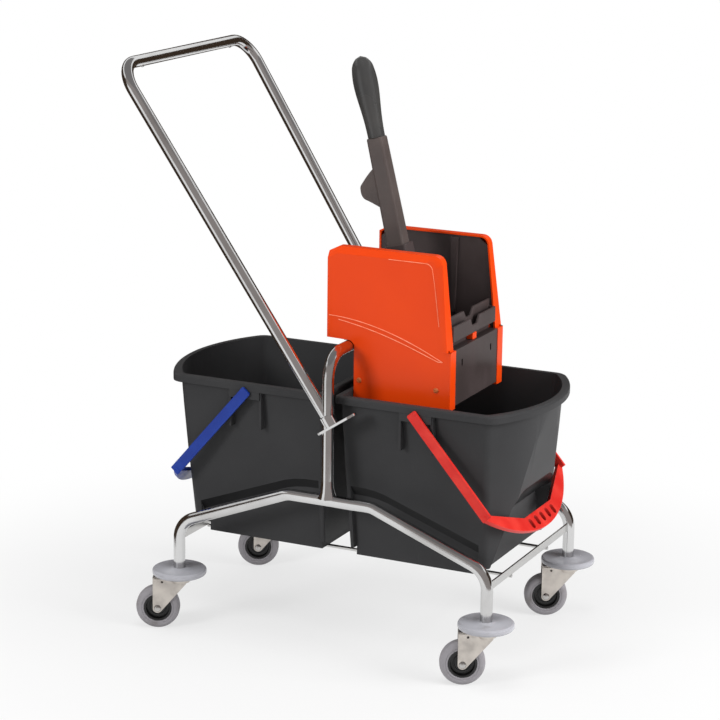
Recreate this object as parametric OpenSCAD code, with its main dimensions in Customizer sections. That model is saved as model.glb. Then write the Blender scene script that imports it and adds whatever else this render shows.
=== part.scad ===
// Double mop bucket trolley: a bent chrome tube frame on swivel castors carries two
// moulded buckets with swing bails, and a lever press hangs on the hoop between them.
// X runs along the trolley, Y across it and Z up; the origin lies on the floor
// under the middle of the frame.

/* [Frame] */
// Outside diameter of the frame tube
tube_d = 20; // [16:0.5:25]
// Wall of the frame tube
tube_wall = 1.5; // [1:0.1:2.5]
// Distance between castor axes along the trolley
wheelbase = 570; // [560:1:640]
// Distance between castor axes across the trolley
track = 366; // [360:1:420]
// Height where a leg's axis meets the sloping part of the side rail
rail_leg_z = 189; // [180:1:215]
// Height of the side rail's axis at its top
rail_top_z = 269; // [245:1:280]
// Length of the level stretch on top of the side rail
rail_flat = 154; // [100:1:200]
// Bend radius of the side rail's axis
rail_bend_r = 42; // [30:1:50]
// Offset of the hoop from the middle of the rails
hoop_x = -4; // [-8:1:0]
// Height of the hoop's top tube, at its axis
hoop_z = 515; // [505:1:540]
// Bend radius of the hoop's axis
hoop_bend_r = 42; // [30:1:60]
// Height of an end crossbar
bar_h = 14; // [10:1:18]
// Thickness of an end crossbar
bar_t = 3; // [2:0.5:5]
// Height of the crossbar's lower edge above the floor
bar_z = 156; // [140:1:160]
// Diameter of the two rods that carry the buckets
rod_d = 6; // [5:0.5:8]
// Distance of each rod from the middle of the trolley
rod_y = 80; // [60:1:95]

/* [Push handle] */
// Height of the point where the handle's legs meet the hoop posts
handle_foot_z = 409; // [380:1:430]
// Lean of the handle from the vertical
handle_lean = 33.5; // [25:0.5:40]
// Length of a handle leg, from the hoop post to the axis of the grip bar
handle_len = 669; // [560:1:720]
// Width of the grip bar between the legs' axes
handle_w = 434; // [400:1:470]
// Bend radius of the handle's axis
handle_bend_r = 45; // [35:1:60]
// Length of the lug plate at the foot of each leg
lug_len = 80; // [70:1:86]
// Width of the lug plate
lug_w = 26; // [24:1:30]
// Thickness of the lug plate
lug_t = 4; // [3:0.5:6]
// Offset of the lug plate from the leg's axis, away from the handle's lean
lug_shift = 10; // [6:1:12]
// Distance from the leg's crossing point down to the top of the lug plate
lug_drop = 13; // [11:1:16]
// Height of the collar that joins the leg to its lug plate
collar_h = 19; // [18:1:22]
// Wall of that collar
collar_wall = 2.5; // [2:0.5:3]
// Diameter of the accessory hole in the lug plate
lug_hole_d = 6.5; // [5:0.5:8]

/* [Castors] */
// Wheel diameter over the tyre
wheel_d = 75; // [70:1:80]
// Tyre width
tyre_w = 25; // [20:1:28]
// Diameter of the hub where the tyre sits on it
hub_d = 48; // [40:1:54]
// Shoulder radius of the tyre
tyre_round = 8; // [4:0.5:9]
// Axle diameter
axle_d = 8; // [6:0.5:10]
// Distance from the swivel axis back to the axle
trail = 37; // [30:1:40]
// Direction in which the wheels trail, measured from +X
trail_dir = 205; // [180:1:270]
// Thickness of the fork's stamped sheet
fork_t = 2; // [1.5:0.5:3]
// Radius of the fork's end round the axle
fork_end_r = 8; // [7:0.5:10]
// Diameter of the fork's swivel head
swivel_d = 46; // [40:1:52]
// Depth of the swivel head's conical rim
swivel_h = 11; // [8:1:14]
// Kingpin diameter
kingpin_d = 10; // [8:0.5:12]
// Height of the bumper disc's top face
disc_z = 107; // [104:1:112]
// Diameter of the bumper disc
disc_d = 93; // [80:1:100]
// Thickness of the bumper disc
disc_t = 11; // [8:1:12]

/* [Buckets] */
// Overall length of a bucket at its rim
bucket_len = 335; // [320:1:345]
// Width of a bucket at its rim
bucket_w = 322; // [306:1:324]
// Height of a bucket
bucket_h = 286; // [276:1:292]
// Wall thickness of a bucket
bucket_wall = 3; // [2.5:0.5:4]
// Width of the rim outside the wall
rim_w = 9; // [7:0.5:12]
// Height of the rim's turned-down skirt
rim_h = 13; // [11:1:16]
// How far the side walls draw in from the rim to the floor, each side
side_draft = 29; // [22:1:32]
// How far the inner end wall draws in from the rim to the floor
inner_draft = 6; // [2:1:12]
// How far the rounded outer end draws in from the rim to the floor
outer_draft = 20; // [10:1:24]
// Bulge of the rounded outer end
end_bulge = 52; // [46:1:60]
// Height of the foot under the bucket
foot_h = 14.5; // [14.5:0.5:17]
// Inset of the foot from the walls
foot_inset = 8; // [5:1:12]
// Height of the finger recess in the outer end
recess_h = 140; // [120:1:150]
// Width of the finger recess
recess_w = 230; // [216:1:234]
// Distance of the recess wall from the inner end, at the floor
recess_x = 258; // [250:1:258]
// Slope of the recess wall from the vertical
recess_slope = 12; // [8:1:16]
// Depth of the recess behind the wall's slope, at its top
recess_roof = 24; // [16:1:30]
// Distance of the lower side walls from the middle, under the moulded step
step_y = 125; // [122:1:127]
// Gap between the two buckets' rims
bucket_gap = 16; // [14:1:20]
// Offset of the pair of buckets along the trolley
bucket_shift = -14.5; // [-15.5:0.5:-13.5]

/* [Bails] */
// Distance of the bail pivots from the bucket's inner end
pivot_x = 149; // [140:1:160]
// Depth of the bail pivots below the rim's top
pivot_drop = 18; // [17:0.5:22]
// Pivot pin diameter
pivot_d = 8; // [6:0.5:9]
// Length of a bail's straight arm, from the pivot to the grip's corner
arm_len = 202; // [199:1:214]
// Width of an arm
arm_w = 18; // [16:1:20]
// Thickness of an arm
arm_t = 5; // [4:0.5:6]
// Bow of the grip beyond the arms
bail_bow = 70; // [60:1:78]
// Thickness of the grip
grip_t = 10; // [8:1:14]
// Width of the grip at its middle
grip_w = 38; // [34:1:44]
// Length of the grip's straight hand hold
hold_len = 116; // [100:2:130]
// Angle at which the bails hang below the horizontal
bail_droop = 49; // [44:1:50]
// Number of slots in the hand hold
hold_slots = 5; // [3:1:6]

/* [Press] */
// Width over the two covers
press_w = 220; // [190:1:230]
// Depth of a cover across the press
cover_depth = 22; // [18:1:24]
// Wall of the covers
cover_wall = 3; // [2:0.5:4]
// Height of the press above the hoop's axis
press_up = 166; // [150:1:175]
// Depth of the press below the hoop's axis
press_down = 88; // [80:1:95]
// Reach of the press in front of the hoop's axis, at its foot
press_front = 185; // [178:1:190]
// Reach of the overhang behind the hoop's axis
press_back = 39; // [32:1:42]
// Height of the box at the front of the press
box_h = 98; // [90:1:102]
// How far the covers lean back from the box to their top
cover_rake = 15; // [8:1:20]
// Step of the covers above the box
cover_step = 5; // [3:1:8]
// Width of the bevel round the covers
cover_bevel = 11; // [8:1:12]
// Wall of the press body
body_wall = 4; // [3:0.5:5]

/* [Lever] */
// Distance of the lever's pivot in front of the hoop's axis
lever_x = 90; // [84:1:94]
// Height of the lever's pivot above the foot of the press
lever_z = 28; // [24:1:32]
// Lean of the lever from the vertical at rest
lever_lean = 13.6; // [12:0.1:16]
// Diameter of the pivot shaft
shaft_d = 10; // [8:0.5:12]
// Height of the pressing jaw above its pivot
jaw_h = 128; // [110:1:130]
// Thickness of the pressing jaw's plate
jaw_t = 8; // [6:1:10]
// Height of the ribs on the pressing jaw
jaw_rib = 5; // [3:0.5:6]
// Length from the pivot to the top of the lever's socket
socket_top = 222; // [205:1:230]
// Width of the lever arm
lever_w = 32; // [28:1:36]
// Length from the pivot to the seam of the hand grip
lever_len = 404; // [380:1:420]
// Length of the hand grip
lever_grip_len = 136; // [120:1:150]
// Greatest diameter of the hand grip
lever_grip_d = 41; // [36:1:44]

/* [Hidden] */
$fn = 72;

// Clearances: pieces that rest on each other, shafts in bores, welded or pressed seats
rest_gap = 0.3;
run_gap = 0.08;
seat_gap = 0.05;
through = 1;

// Frame
half_base = wheelbase / 2;
half_track = track / 2;
tube_r = tube_d / 2;
bore_r = tube_r - tube_wall;
leg_end_z = disc_z - disc_t;
weld_r = tube_r + seat_gap;
bend_lap = 1;
bend_step = 0.25;
weld_flare = 4;
weld_flare_h = 20;
bar_top_z = bar_z + bar_h;
rod_z = bar_z - rod_d / 2;
lug_hole_x = lug_shift + lug_len / 2 - lug_w / 3;

// Castors
left_near = [-half_base, -half_track];
left_far = [-half_base, half_track];
right_near = [half_base, -half_track];
right_far = [half_base, half_track];
axle_z = wheel_d / 2;
stem_flange_t = 2.5;
stem_flange_d = 30;
stem_plug_h = 32;
head_z = leg_end_z - stem_flange_t - rest_gap;
crown_t = 3;
kingpin_head_d = 18;
kingpin_head_t = 3.5;
fork_gap = tyre_w + 3;
fork_y = fork_gap / 2;
fork_front = -12;
rivet_d = 12;
rivet_t = 3;
sheet_hole_d = 4;

// Buckets
floor_z = bar_z + rest_gap;
rim_z = floor_z + bucket_h;
rim_half = bucket_w / 2;
body_half = rim_half - rim_w;
body_len = bucket_len - 2 * rim_w;
body_top = bucket_h - bucket_wall;
rim_round = 14.5;
rim_end_round = 26;
pivot_z = bucket_h - pivot_drop;
rib_spacing = 57;
rib_t = 5;
rib_h = 58;
pivot_boss_d = pivot_d + 7;
pin_len = rim_w;
bucket_x = bucket_gap / 2;
recess_round = 45;

// Bails
bail_in = rim_half + 0.5;
bail_out = bail_in + arm_t;
bow_r = (bail_out * bail_out + bail_bow * bail_bow) / (2 * bail_bow);
hold_in = arm_len + bail_bow - grip_w;
heel = 10;
slot_w = 9;
slot_len = 18;

// Press
press_half = press_w / 2;
cover_in = press_half - cover_depth;
lining_out = cover_in + 2 + body_wall;
lining_in = lining_out - body_wall;
press_foot = hoop_z - press_down;
press_top = hoop_z + press_up;
back_x = tube_r + rest_gap + 0.6;
box_top = -press_down + box_h;
saddle_r = tube_r + rest_gap;
overhang_z = tube_r + 2;
lip_z = saddle_r * cos(66);
front_low = press_front;
front_mid = press_front - cover_step;
front_top = front_mid - cover_rake;
cover_corner = 16;
cover_chamfer = 18;
screw_d = 4;
screw_head_d = 9;
screw_head_t = 2.2;
screw_up = 30;
screw_front = [21, press_front - 25];
body_front = press_front - 1;
body_edge = cover_wall + 0.5;
body_low = body_edge - press_down;
rear_x = back_x + body_edge + 1;
tie_half = lining_in + 1;
guide_w = 13;
guide_t = 6;
span_half = cover_in - rest_gap;
body_rake_x = front_top - cover_wall - 1;
rear_wall_h = 180;
rear_wall_top = press_foot + rear_wall_h;
stop_h = 30;
plate_run = 74;
plate_up = 60;
plate_x = lever_x + plate_run;
plate_top = hoop_z + plate_up;
jaw_bar_back = 4;
jaw_bar_up = 12;
jaw_bar_h = 26;
bar_front = body_front - jaw_bar_back;
bar_low = box_top + jaw_bar_up;
bar_high = bar_low + jaw_bar_h;
notch_w = 38;
notch_d = 13;

// Lever
pivot = [hoop_x + lever_x, press_foot + lever_z];
shaft_r = shaft_d / 2;
jaw_half = lining_in - 7;
socket_low = 112;
socket_wall = 4;
lever_d = 28;
arm_low = socket_low + 26;
lever_taper = 0.9;
tang_d = 18;
tang_h = 52;
hook_low = 296;
hook_high = 366;
hook_reach = 32;
hook_t = 20;

// Points on an arc about a centre, from one angle to another
function arc(c, r, a0, a1, n) = [for (i = [0 : n]) c + r * [cos(a0 + (a1 - a0) * i / n), sin(a0 + (a1 - a0) * i / n)]];

// Direction from one point to another, and the turn a path makes at one of its points
function heading(a, b) = atan2(b.y - a.y, b.x - a.x);
function wrap(a) = a > 180 ? a - 360 : a < -180 ? a + 360 : a;
function turn(p, i) = wrap(heading(p[i], p[i + 1]) - heading(p[i - 1], p[i]));
function inner_point(p, i) = i > 0 && i < len(p) - 1;
function trim(p, i, r) = inner_point(p, i) ? r * tan(abs(turn(p, i)) / 2) : 0;

module pipe(h, d, wall) {
    difference() {
        cylinder(h = h, d = d);
        translate([0, 0, -through])
            cylinder(h = h + 2 * through, d = d - 2 * wall);
    }
}

// How far a straight length of tube laps a bend at the inner points of a path
function lap(p, i) = inner_point(p, i) ? bend_lap : 0;

// A tube along a flat path, with a bend of one radius at each inner point;
// the bends are a little thinner so that the straight lengths lap over their ends
module bent_tube(p, r) {
    for (i = [0 : len(p) - 2])
        translate(p[i])
            rotate(heading(p[i], p[i + 1]))
                translate([trim(p, i, r) - lap(p, i), 0, 0])
                    rotate([0, 90, 0])
                        pipe(norm(p[i + 1] - p[i]) - trim(p, i, r) - trim(p, i + 1, r) + lap(p, i) + lap(p, i + 1),
                             tube_d, tube_wall);
    for (i = [1 : len(p) - 2]) {
        a = turn(p, i);
        translate(p[i])
            rotate(heading(p[i - 1], p[i]))
                translate([-trim(p, i, r), sign(a) * r, 0])
                    rotate(a > 0 ? -90 : 90 + a)
                        rotate_extrude(angle = abs(a))
                            translate([r, 0])
                                difference() {
                                    circle(tube_r - bend_step);
                                    circle(bore_r + bend_step);
                                }
    }
}

// A flat shape drawn with Z up, standing in the X-Z plane or the Y-Z plane
module stand_xz() {
    rotate([90, 0, 0]) children();
}
module stand_yz() {
    rotate([90, 0, 90]) children();
}

module stadium(length, width) {
    square([length - width, width], center = true);
    for (s = [-1, 1])
        translate([s * (length - width) / 2, 0])
            circle(d = width);
}

module rounded_square(w, h, r) {
    square([w - 2 * r, h], center = true);
    square([w, h - 2 * r], center = true);
    for (x = [-1, 1], y = [-1, 1])
        translate([x * (w / 2 - r), y * (h / 2 - r)])
            circle(r);
}

// Frame

rail_path = [
    [-half_base, leg_end_z], [-half_base, rail_leg_z], [-rail_flat / 2, rail_top_z],
    [rail_flat / 2, rail_top_z], [half_base, rail_leg_z], [half_base, leg_end_z]
];

module side_rail(side) {
    color("silver")
        translate([0, side * half_track, 0])
            stand_xz()
                bent_tube(rail_path, rail_bend_r);
}

module rail_cut() {
    for (side = [-1, 1])
        translate([-half_base, side * half_track, rail_top_z])
            rotate([0, 90, 0])
                cylinder(h = wheelbase, r = weld_r);
}

hoop_path = [
    [-half_track, rail_top_z], [-half_track, hoop_z], [half_track, hoop_z], [half_track, rail_top_z]
];

// The hoop's posts end on the rails with a flared weld
module hoop() {
    color("silver")
        difference() {
            translate([hoop_x, 0, 0]) {
                stand_yz()
                    bent_tube(hoop_path, hoop_bend_r);
                for (side = [-1, 1])
                    translate([0, side * half_track, rail_top_z])
                        difference() {
                            cylinder(h = weld_flare_h, r1 = tube_r + weld_flare, r2 = tube_r - 0.2);
                            translate([0, 0, -through])
                                cylinder(h = weld_flare_h + 2 * through, r = tube_r - tube_wall / 2);
                        }
            }
            rail_cut();
        }
}

module post_cut() {
    for (side = [-1, 1])
        translate([hoop_x, side * half_track, rail_top_z])
            cylinder(h = hoop_z - hoop_bend_r - rail_top_z, r = weld_r);
}

module crossbar(end) {
    color("gainsboro")
        difference() {
            translate([end * half_base - bar_t / 2, -half_track, bar_z])
                cube([bar_t, track, bar_h]);
            for (side = [-1, 1])
                translate([end * half_base, side * half_track, bar_z - through])
                    cylinder(h = bar_h + 2 * through, r = weld_r);
        }
}

module support_rod(side) {
    color("gainsboro")
        translate([-half_base - bar_t / 2, side * rod_y, rod_z])
            rotate([0, 90, 0])
                cylinder(h = wheelbase + bar_t, d = rod_d);
}

// The handle's own frame: its Z follows the lean, its X lies along the lug plates
module handle_frame() {
    translate([hoop_x, 0, handle_foot_z])
        rotate([0, -handle_lean, 0])
            children();
}

handle_splay = (handle_w - track) / 2 / handle_len;
handle_start = collar_h - lug_drop;
handle_path = [
    [-half_track - handle_start * handle_splay, handle_start], [-handle_w / 2, handle_len],
    [handle_w / 2, handle_len], [half_track + handle_start * handle_splay, handle_start]
];

module push_handle() {
    color("silver")
        difference() {
            handle_frame()
                stand_yz()
                    bent_tube(handle_path, handle_bend_r);
            post_cut();
        }
}

// A lug plate and its collar, fitted round the hoop post under the handle's leg
module handle_lug(side) {
    color("silver")
        difference() {
            handle_frame()
                translate([0, side * half_track, -lug_drop]) {
                    difference() {
                        translate([lug_shift, 0, -lug_t])
                            linear_extrude(lug_t)
                                stadium(lug_len, lug_w);
                        translate([lug_hole_x, 0, -lug_t - through])
                            cylinder(h = lug_t + 2 * through, d = lug_hole_d);
                    }
                    translate([0, 0, -lug_t / 2])
                        cylinder(h = collar_h + lug_t / 2, r = tube_r + collar_wall);
                }
            handle_frame()
                translate([0, side * half_track, 0])
                    rotate([-side * atan(handle_splay), 0, 0])
                        translate([0, 0, handle_start - seat_gap])
                            cylinder(h = tube_d, r = 2 * tube_d);
            post_cut();
        }
}

// Castors

module castor_stem(at) {
    color("gainsboro")
        translate(at) {
            translate([0, 0, leg_end_z])
                cylinder(h = stem_plug_h, r = bore_r - seat_gap);
            translate([0, 0, leg_end_z - stem_flange_t])
                cylinder(h = stem_flange_t, d = stem_flange_d);
            translate([0, 0, head_z - crown_t - rest_gap])
                cylinder(h = crown_t + 2 * rest_gap, d = kingpin_d);
            translate([0, 0, head_z - crown_t - rest_gap - kingpin_head_t])
                cylinder(h = kingpin_head_t, d = kingpin_head_d);
        }
}

module bumper_disc(at) {
    color("silver")
        translate([at.x, at.y, leg_end_z])
            rotate_extrude()
                difference() {
                    union() {
                        square([(disc_d - disc_t) / 2, disc_t]);
                        translate([(disc_d - disc_t) / 2, disc_t / 2])
                            circle(d = disc_t);
                    }
                    translate([0, -through])
                        square([tube_r + seat_gap, disc_t + 2 * through]);
                }
}

// The swivelling part of a castor, turned to the way it trails; X points back to the axle
module castor_frame(at) {
    translate(at)
        rotate(trail_dir)
            children();
}

fork_axle = [trail, axle_z];
fork_corner = [fork_front, head_z - swivel_h];
fork_reach = norm(fork_corner - fork_axle);
fork_tangent = heading(fork_axle, fork_corner) + acos(fork_end_r / fork_reach);

module fork_side() {
    difference() {
        union() {
            polygon([
                [fork_front, head_z], fork_corner,
                fork_axle + fork_end_r * [cos(fork_tangent), sin(fork_tangent)],
                fork_axle, fork_axle + [fork_end_r, 0], [trail + fork_end_r, head_z]
            ]);
            translate(fork_axle)
                circle(fork_end_r);
        }
        translate([trail - fork_end_r, head_z - 2 * sheet_hole_d])
            circle(d = sheet_hole_d);
    }
}

module castor_fork(at) {
    color("lightgray")
        castor_frame(at)
            difference() {
                union() {
                    for (side = [-1, 1])
                        translate([0, side * (fork_y + fork_t / 2) + fork_t / 2, 0])
                            stand_xz()
                                linear_extrude(fork_t)
                                    fork_side();
                    translate([0, -fork_y - fork_t, head_z - crown_t])
                        cube([trail + fork_end_r, fork_gap + 2 * fork_t, crown_t]);
                    translate([0, 0, head_z - swivel_h])
                        difference() {
                            cylinder(h = swivel_h, d1 = swivel_d - swivel_h, d2 = swivel_d);
                            translate([0, 0, -crown_t])
                                cylinder(h = swivel_h, d1 = swivel_d - swivel_h - 3 * fork_t,
                                         d2 = swivel_d - 3 * fork_t);
                            translate([trail, 0, -through])
                                cylinder(h = swivel_h - crown_t + through, d = wheel_d);
                        }
                }
                translate([0, 0, head_z - crown_t - through])
                    cylinder(h = crown_t + 2 * through, d = kingpin_d + 2 * run_gap);
                translate([trail, -fork_gap, axle_z])
                    rotate([-90, 0, 0])
                        cylinder(h = 2 * fork_gap, d = axle_d + 2 * seat_gap);
            }
}

module castor_axle(at) {
    color("gainsboro")
        castor_frame(at)
            translate([trail, 0, axle_z])
                rotate([90, 0, 0]) {
                    cylinder(h = fork_gap + 2 * fork_t + rivet_t, d = axle_d, center = true);
                    for (side = [-1, 1])
                        mirror([0, 0, side < 0 ? 1 : 0])
                            translate([0, 0, fork_y + fork_t])
                                cylinder(h = rivet_t, d1 = rivet_d, d2 = rivet_d - rivet_t);
                }
}

module wheel_frame(at) {
    castor_frame(at)
        translate([trail, 0, axle_z])
            rotate([90, 0, 0])
                children();
}

hub_boss_r = 9;
hub_boss_half = fork_y - rest_gap;
hub_web_half = 5;
hub_rim_t = 4;
hub_rim_half = tyre_w / 2 - 1.5;

module wheel_hub(at) {
    bore = axle_d / 2 + run_gap;
    color("dimgray")
        wheel_frame(at)
            rotate_extrude()
                difference() {
                    union() {
                        translate([bore, -hub_boss_half])
                            square([hub_boss_r - bore, 2 * hub_boss_half]);
                        translate([bore, -hub_web_half])
                            square([hub_d / 2 - bore, 2 * hub_web_half]);
                        translate([hub_d / 2 - hub_rim_t, -hub_rim_half])
                            square([hub_rim_t, 2 * hub_rim_half]);
                    }
                }
}

module wheel_tyre(at) {
    inner = hub_d / 2 + seat_gap;
    outer = wheel_d / 2;
    color("gray")
        wheel_frame(at)
            rotate_extrude() {
                translate([inner, -tyre_w / 2])
                    square([outer - tyre_round - inner, tyre_w]);
                translate([inner, tyre_round - tyre_w / 2])
                    square([outer - inner, tyre_w - 2 * tyre_round]);
                for (side = [-1, 1])
                    translate([outer - tyre_round, side * (tyre_w / 2 - tyre_round)])
                        circle(tyre_round);
            }
}

// Buckets
// A bucket's own frame: X runs from the flat inner end to the rounded outer end,
// and Z from the floor of the foot up to the rim

// Outline of a bucket at one level: half width, both ends, bulge of the outer end,
// radius of the inner corners and of the outer corners
function outline(w, x0, x1, bulge, r0, r1) =
    let(
        end_r = (w * w + bulge * bulge) / (2 * bulge),
        c = x1 - end_r,
        fx = c + sqrt((end_r - r1) * (end_r - r1) - (w - r1) * (w - r1)),
        a = atan2(w - r1, fx - c)
    )
    concat(
        arc([x0 + r0, r0 - w], r0, 180, 270, 5),
        arc([fx, r1 - w], r1, -90, -a, 5),
        arc([c, 0], end_r, -a, a, 20),
        arc([fx, w - r1], r1, a, 90, 5),
        arc([x0 + r0, w - r0], r0, 90, 180, 5)
    );

// The rim's outline and the wall's outline at the rim and at the floor, drawn in by an inset
function rim_outline(i) = outline(rim_half - i, i, bucket_len - i, end_bulge, rim_round - i, rim_end_round - i);
function top_outline(i) = rim_outline(rim_w + i);
function low_outline(i) = outline(
    body_half - side_draft - i, rim_w + inner_draft + i, rim_w + body_len - outer_draft - i,
    end_bulge - outer_draft / 2, rim_round - rim_w - i, rim_end_round - rim_w - i
);

module slab(points, z) {
    translate([0, 0, z])
        linear_extrude(0.1)
            polygon(points);
}

// The tapering body between floor and rim, drawn in by an inset
module bucket_taper(inset, low, high) {
    hull() {
        slab(low_outline(inset), low);
        slab(top_outline(inset), high);
    }
}

// The arched finger recess in the outer end, grown by a margin: a sloping wall below,
// a roof that comes out over it, and an arch that closes it at both sides
module recess(margin) {
    slope = tan(recess_slope);
    fold = recess_h - recess_roof;
    far_x = 2 * bucket_len;
    half = recess_w / 2 + margin;
    top = recess_h + margin;
    intersection() {
        translate([-margin, half, 0])
            stand_xz()
                linear_extrude(2 * half)
                    polygon([
                        [recess_x - slope * foot_h, 0], [recess_x + slope * (fold - foot_h), fold + margin],
                        [recess_x + slope * fold + 2 * recess_roof, fold + margin + recess_roof],
                        [far_x, fold + margin + recess_roof], [far_x, -through], [recess_x - slope * foot_h, -through]
                    ]);
        stand_yz()
            linear_extrude(far_x)
                polygon(concat(
                    [[-half, -through]],
                    arc([recess_round - half, top - recess_round], recess_round, 180, 90, 8),
                    arc([half - recess_round, top - recess_round], recess_round, 90, 0, 8),
                    [[half, -through]]
                ));
    }
}

// The moulded step above which a side wall stands proud: it follows the side rail
module side_step(margin) {
    step_z = rail_top_z + tube_r + 2 - floor_z + margin;
    drop = rail_top_z - rail_leg_z;
    for (side = [-1, 1])
        translate([0, side > 0 ? bucket_w : margin - step_y, 0])
            stand_xz()
                linear_extrude(bucket_w - step_y + margin)
                    polygon([
                        [-through, step_z], [rail_flat / 2 - bucket_x, step_z],
                        [half_base - bucket_x, step_z - drop], [2 * bucket_len, step_z - drop],
                        [2 * bucket_len, -through], [-through, -through]
                    ]);
}

module foot(inset, z0, z1) {
    x0 = rim_w + inner_draft + foot_inset + inset;
    x1 = recess_x - 2 * foot_inset - inset;
    half = body_half - side_draft - foot_inset - inset;
    translate([(x0 + x1) / 2, 0, z0])
        linear_extrude(z1 - z0)
            rounded_square(x1 - x0, 2 * half, foot_inset - inset / 2);
}

// Two ribs and a boss at each bail pivot
module pivot_seat() {
    for (side = [-1, 1]) {
        for (rib = [-1, 1])
            translate([pivot_x + rib * rib_spacing / 2 - rib_t / 2, side > 0 ? 0 : bucket_wall - rim_half,
                       bucket_h - rim_h - rib_h])
                cube([rib_t, rim_half - bucket_wall, rib_h + rim_h - bucket_wall]);
        translate([pivot_x, 0, pivot_z])
            rotate([-90 * side, 0, 0])
                cylinder(h = rim_half - bucket_wall / 2, d = pivot_boss_d);
    }
}

module bucket_solid() {
    difference() {
        union() {
            bucket_taper(0, foot_h, body_top);
            intersection() {
                pivot_seat();
                translate([0, -rim_half, 0])
                    cube([bucket_len, bucket_w, bucket_h]);
            }
        }
        recess(0);
        side_step(0);
    }
    foot(0, 0, foot_h + bucket_wall);
    difference() {
        translate([0, 0, bucket_h - rim_h])
            linear_extrude(rim_h)
                polygon(rim_outline(0));
        translate([0, 0, bucket_h - rim_h - through])
            linear_extrude(rim_h - bucket_wall + through)
                polygon(rim_outline(bucket_wall));
    }
}

module bucket_space() {
    difference() {
        bucket_taper(bucket_wall, foot_h + bucket_wall, bucket_h);
        recess(bucket_wall);
        side_step(bucket_wall);
    }
    foot(bucket_wall, bucket_wall, foot_h + 2 * bucket_wall);
}

module bucket() {
    difference() {
        bucket_solid();
        bucket_space();
        for (side = [-1, 1])
            translate([pivot_x, side * (rim_half - pin_len - rest_gap), pivot_z])
                rotate([-90 * side, 0, 0])
                    cylinder(h = pin_len + through, d = pivot_d + 2 * run_gap);
    }
}

// The right bucket stands as drawn and the left one is turned round
module bucket_place(end) {
    translate([bucket_shift + end * bucket_x, 0, floor_z])
        rotate(end > 0 ? 0 : 180)
            children();
}

module bucket_left() {
    color("dimgray")
        bucket_place(-1)
            bucket();
}

module bucket_right() {
    color("dimgray")
        bucket_place(1)
            bucket();
}

// Bails
// A bail lies in its own X-Y plane: X runs from the pivots out to the hand hold

module bail_grip() {
    bow_c = arm_len + bail_bow - bow_r;
    bow_a = asin(bail_out / bow_r);
    corner = arm_len - arm_w / 2;
    difference() {
        polygon(concat(
            arc([bow_c, 0], bow_r, -bow_a, bow_a, 24),
            [[corner, bail_out], [corner, bail_in], [hold_in, hold_len / 2],
             [hold_in, -hold_len / 2], [corner, -bail_in], [corner, -bail_out]]
        ));
        for (i = [0 : hold_slots - 1])
            translate([hold_in + grip_w / 2, (i - (hold_slots - 1) / 2) * hold_len / hold_slots])
                stadium(slot_len, slot_w);
    }
}

module bail() {
    translate([0, 0, -grip_t / 2])
        linear_extrude(grip_t)
            bail_grip();
    for (side = [-1, 1]) {
        translate([-heel, side > 0 ? bail_in : -bail_out, -arm_w / 2])
            cube([heel + arm_len, arm_t, arm_w]);
        translate([0, side * (bail_in + arm_t / 2), 0])
            rotate([90 * side, 0, 0])
                cylinder(h = arm_t / 2 + pin_len, d = pivot_d);
    }
}

module bail_place(end) {
    bucket_place(end)
        translate([pivot_x, 0, pivot_z])
            rotate([0, bail_droop, 0])
                children();
}

module bail_left() {
    color("royalblue")
        bail_place(-1)
            bail();
}

module bail_right() {
    color("red")
        bail_place(1)
            bail();
}

// Press
// Shapes of the press are drawn in X and Z from the axis of the hoop's top tube

module press_frame() {
    translate([hoop_x, 0, hoop_z])
        children();
}

// Upper part of a cover's outline, drawn in along its top and front by a bevel
// and all round by an inset
function cover_outline(bevel, inset) =
    let(x1 = front_mid - bevel - inset, top = press_up - bevel - inset, r = cover_corner)
    concat(
        [[inset - press_back, overhang_z + inset],
         [x1, box_top - cover_step]],
        arc([x1 - cover_rake - r, top - r], r, 8, 90, 6),
        [[cover_chamfer - press_back, top],
         [inset - press_back, top - cover_chamfer / 2]]
    );

module cover_slab(bevel, inset, y) {
    translate([0, y, 0])
        stand_xz()
            linear_extrude(0.1)
                polygon(cover_outline(bevel, inset));
}

// A solid cover, seen from the near side: its outer face has the lowest Y
module cover_block(inset) {
    inner_y = inset > 0 ? through - cover_in : -cover_in;
    outer_y = inset - press_half;
    hull() {
        cover_slab(0, inset, inner_y);
        cover_slab(0, inset, outer_y + cover_bevel);
        cover_slab(cover_bevel, inset, outer_y + 0.1);
    }
    translate([back_x + inset, outer_y, inset - press_down])
        cube([front_low - back_x - 2 * inset, inner_y - outer_y, box_h]);
    translate([inset - press_back, outer_y, overhang_z + inset])
        cube([front_mid + press_back - cover_bevel - 2 * inset, inner_y - outer_y, 4 * cover_bevel]);
}

// The notch that lets the cover hang over the hoop, grown by a margin
module cover_notch(margin) {
    far = 2 * press_back;
    translate([0, press_half, 0])
        stand_xz()
            linear_extrude(press_w + press_half)
                union() {
                    translate([-far, -2 * press_down])
                        square([far + back_x + margin, 2 * press_down]);
                    translate([-far, -through])
                        square([far, overhang_z + through + margin]);
                    circle(back_x + margin);
                }
}

// A shallow raised swoosh across the outer face, between two curves that meet at the back
module cover_swoosh() {
    from_x = 4 - press_back;
    to_x = front_mid - 22;
    steps = 12;
    rise = 48;
    drop = 52;
    spread = 8;
    upper = [for (i = [0 : steps]) let(t = i / steps) [from_x + (to_x - from_x) * t, rise - drop * t * t * (1.6 - 0.6 * t)]];
    lower = [for (i = [steps : -1 : 0]) upper[i] - [0, 1 + spread * sin(180 * i / steps)]];
    translate([0, 0.5 - press_half, 0])
        stand_xz()
            linear_extrude(1.3)
                polygon(concat(upper, lower));
}

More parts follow.
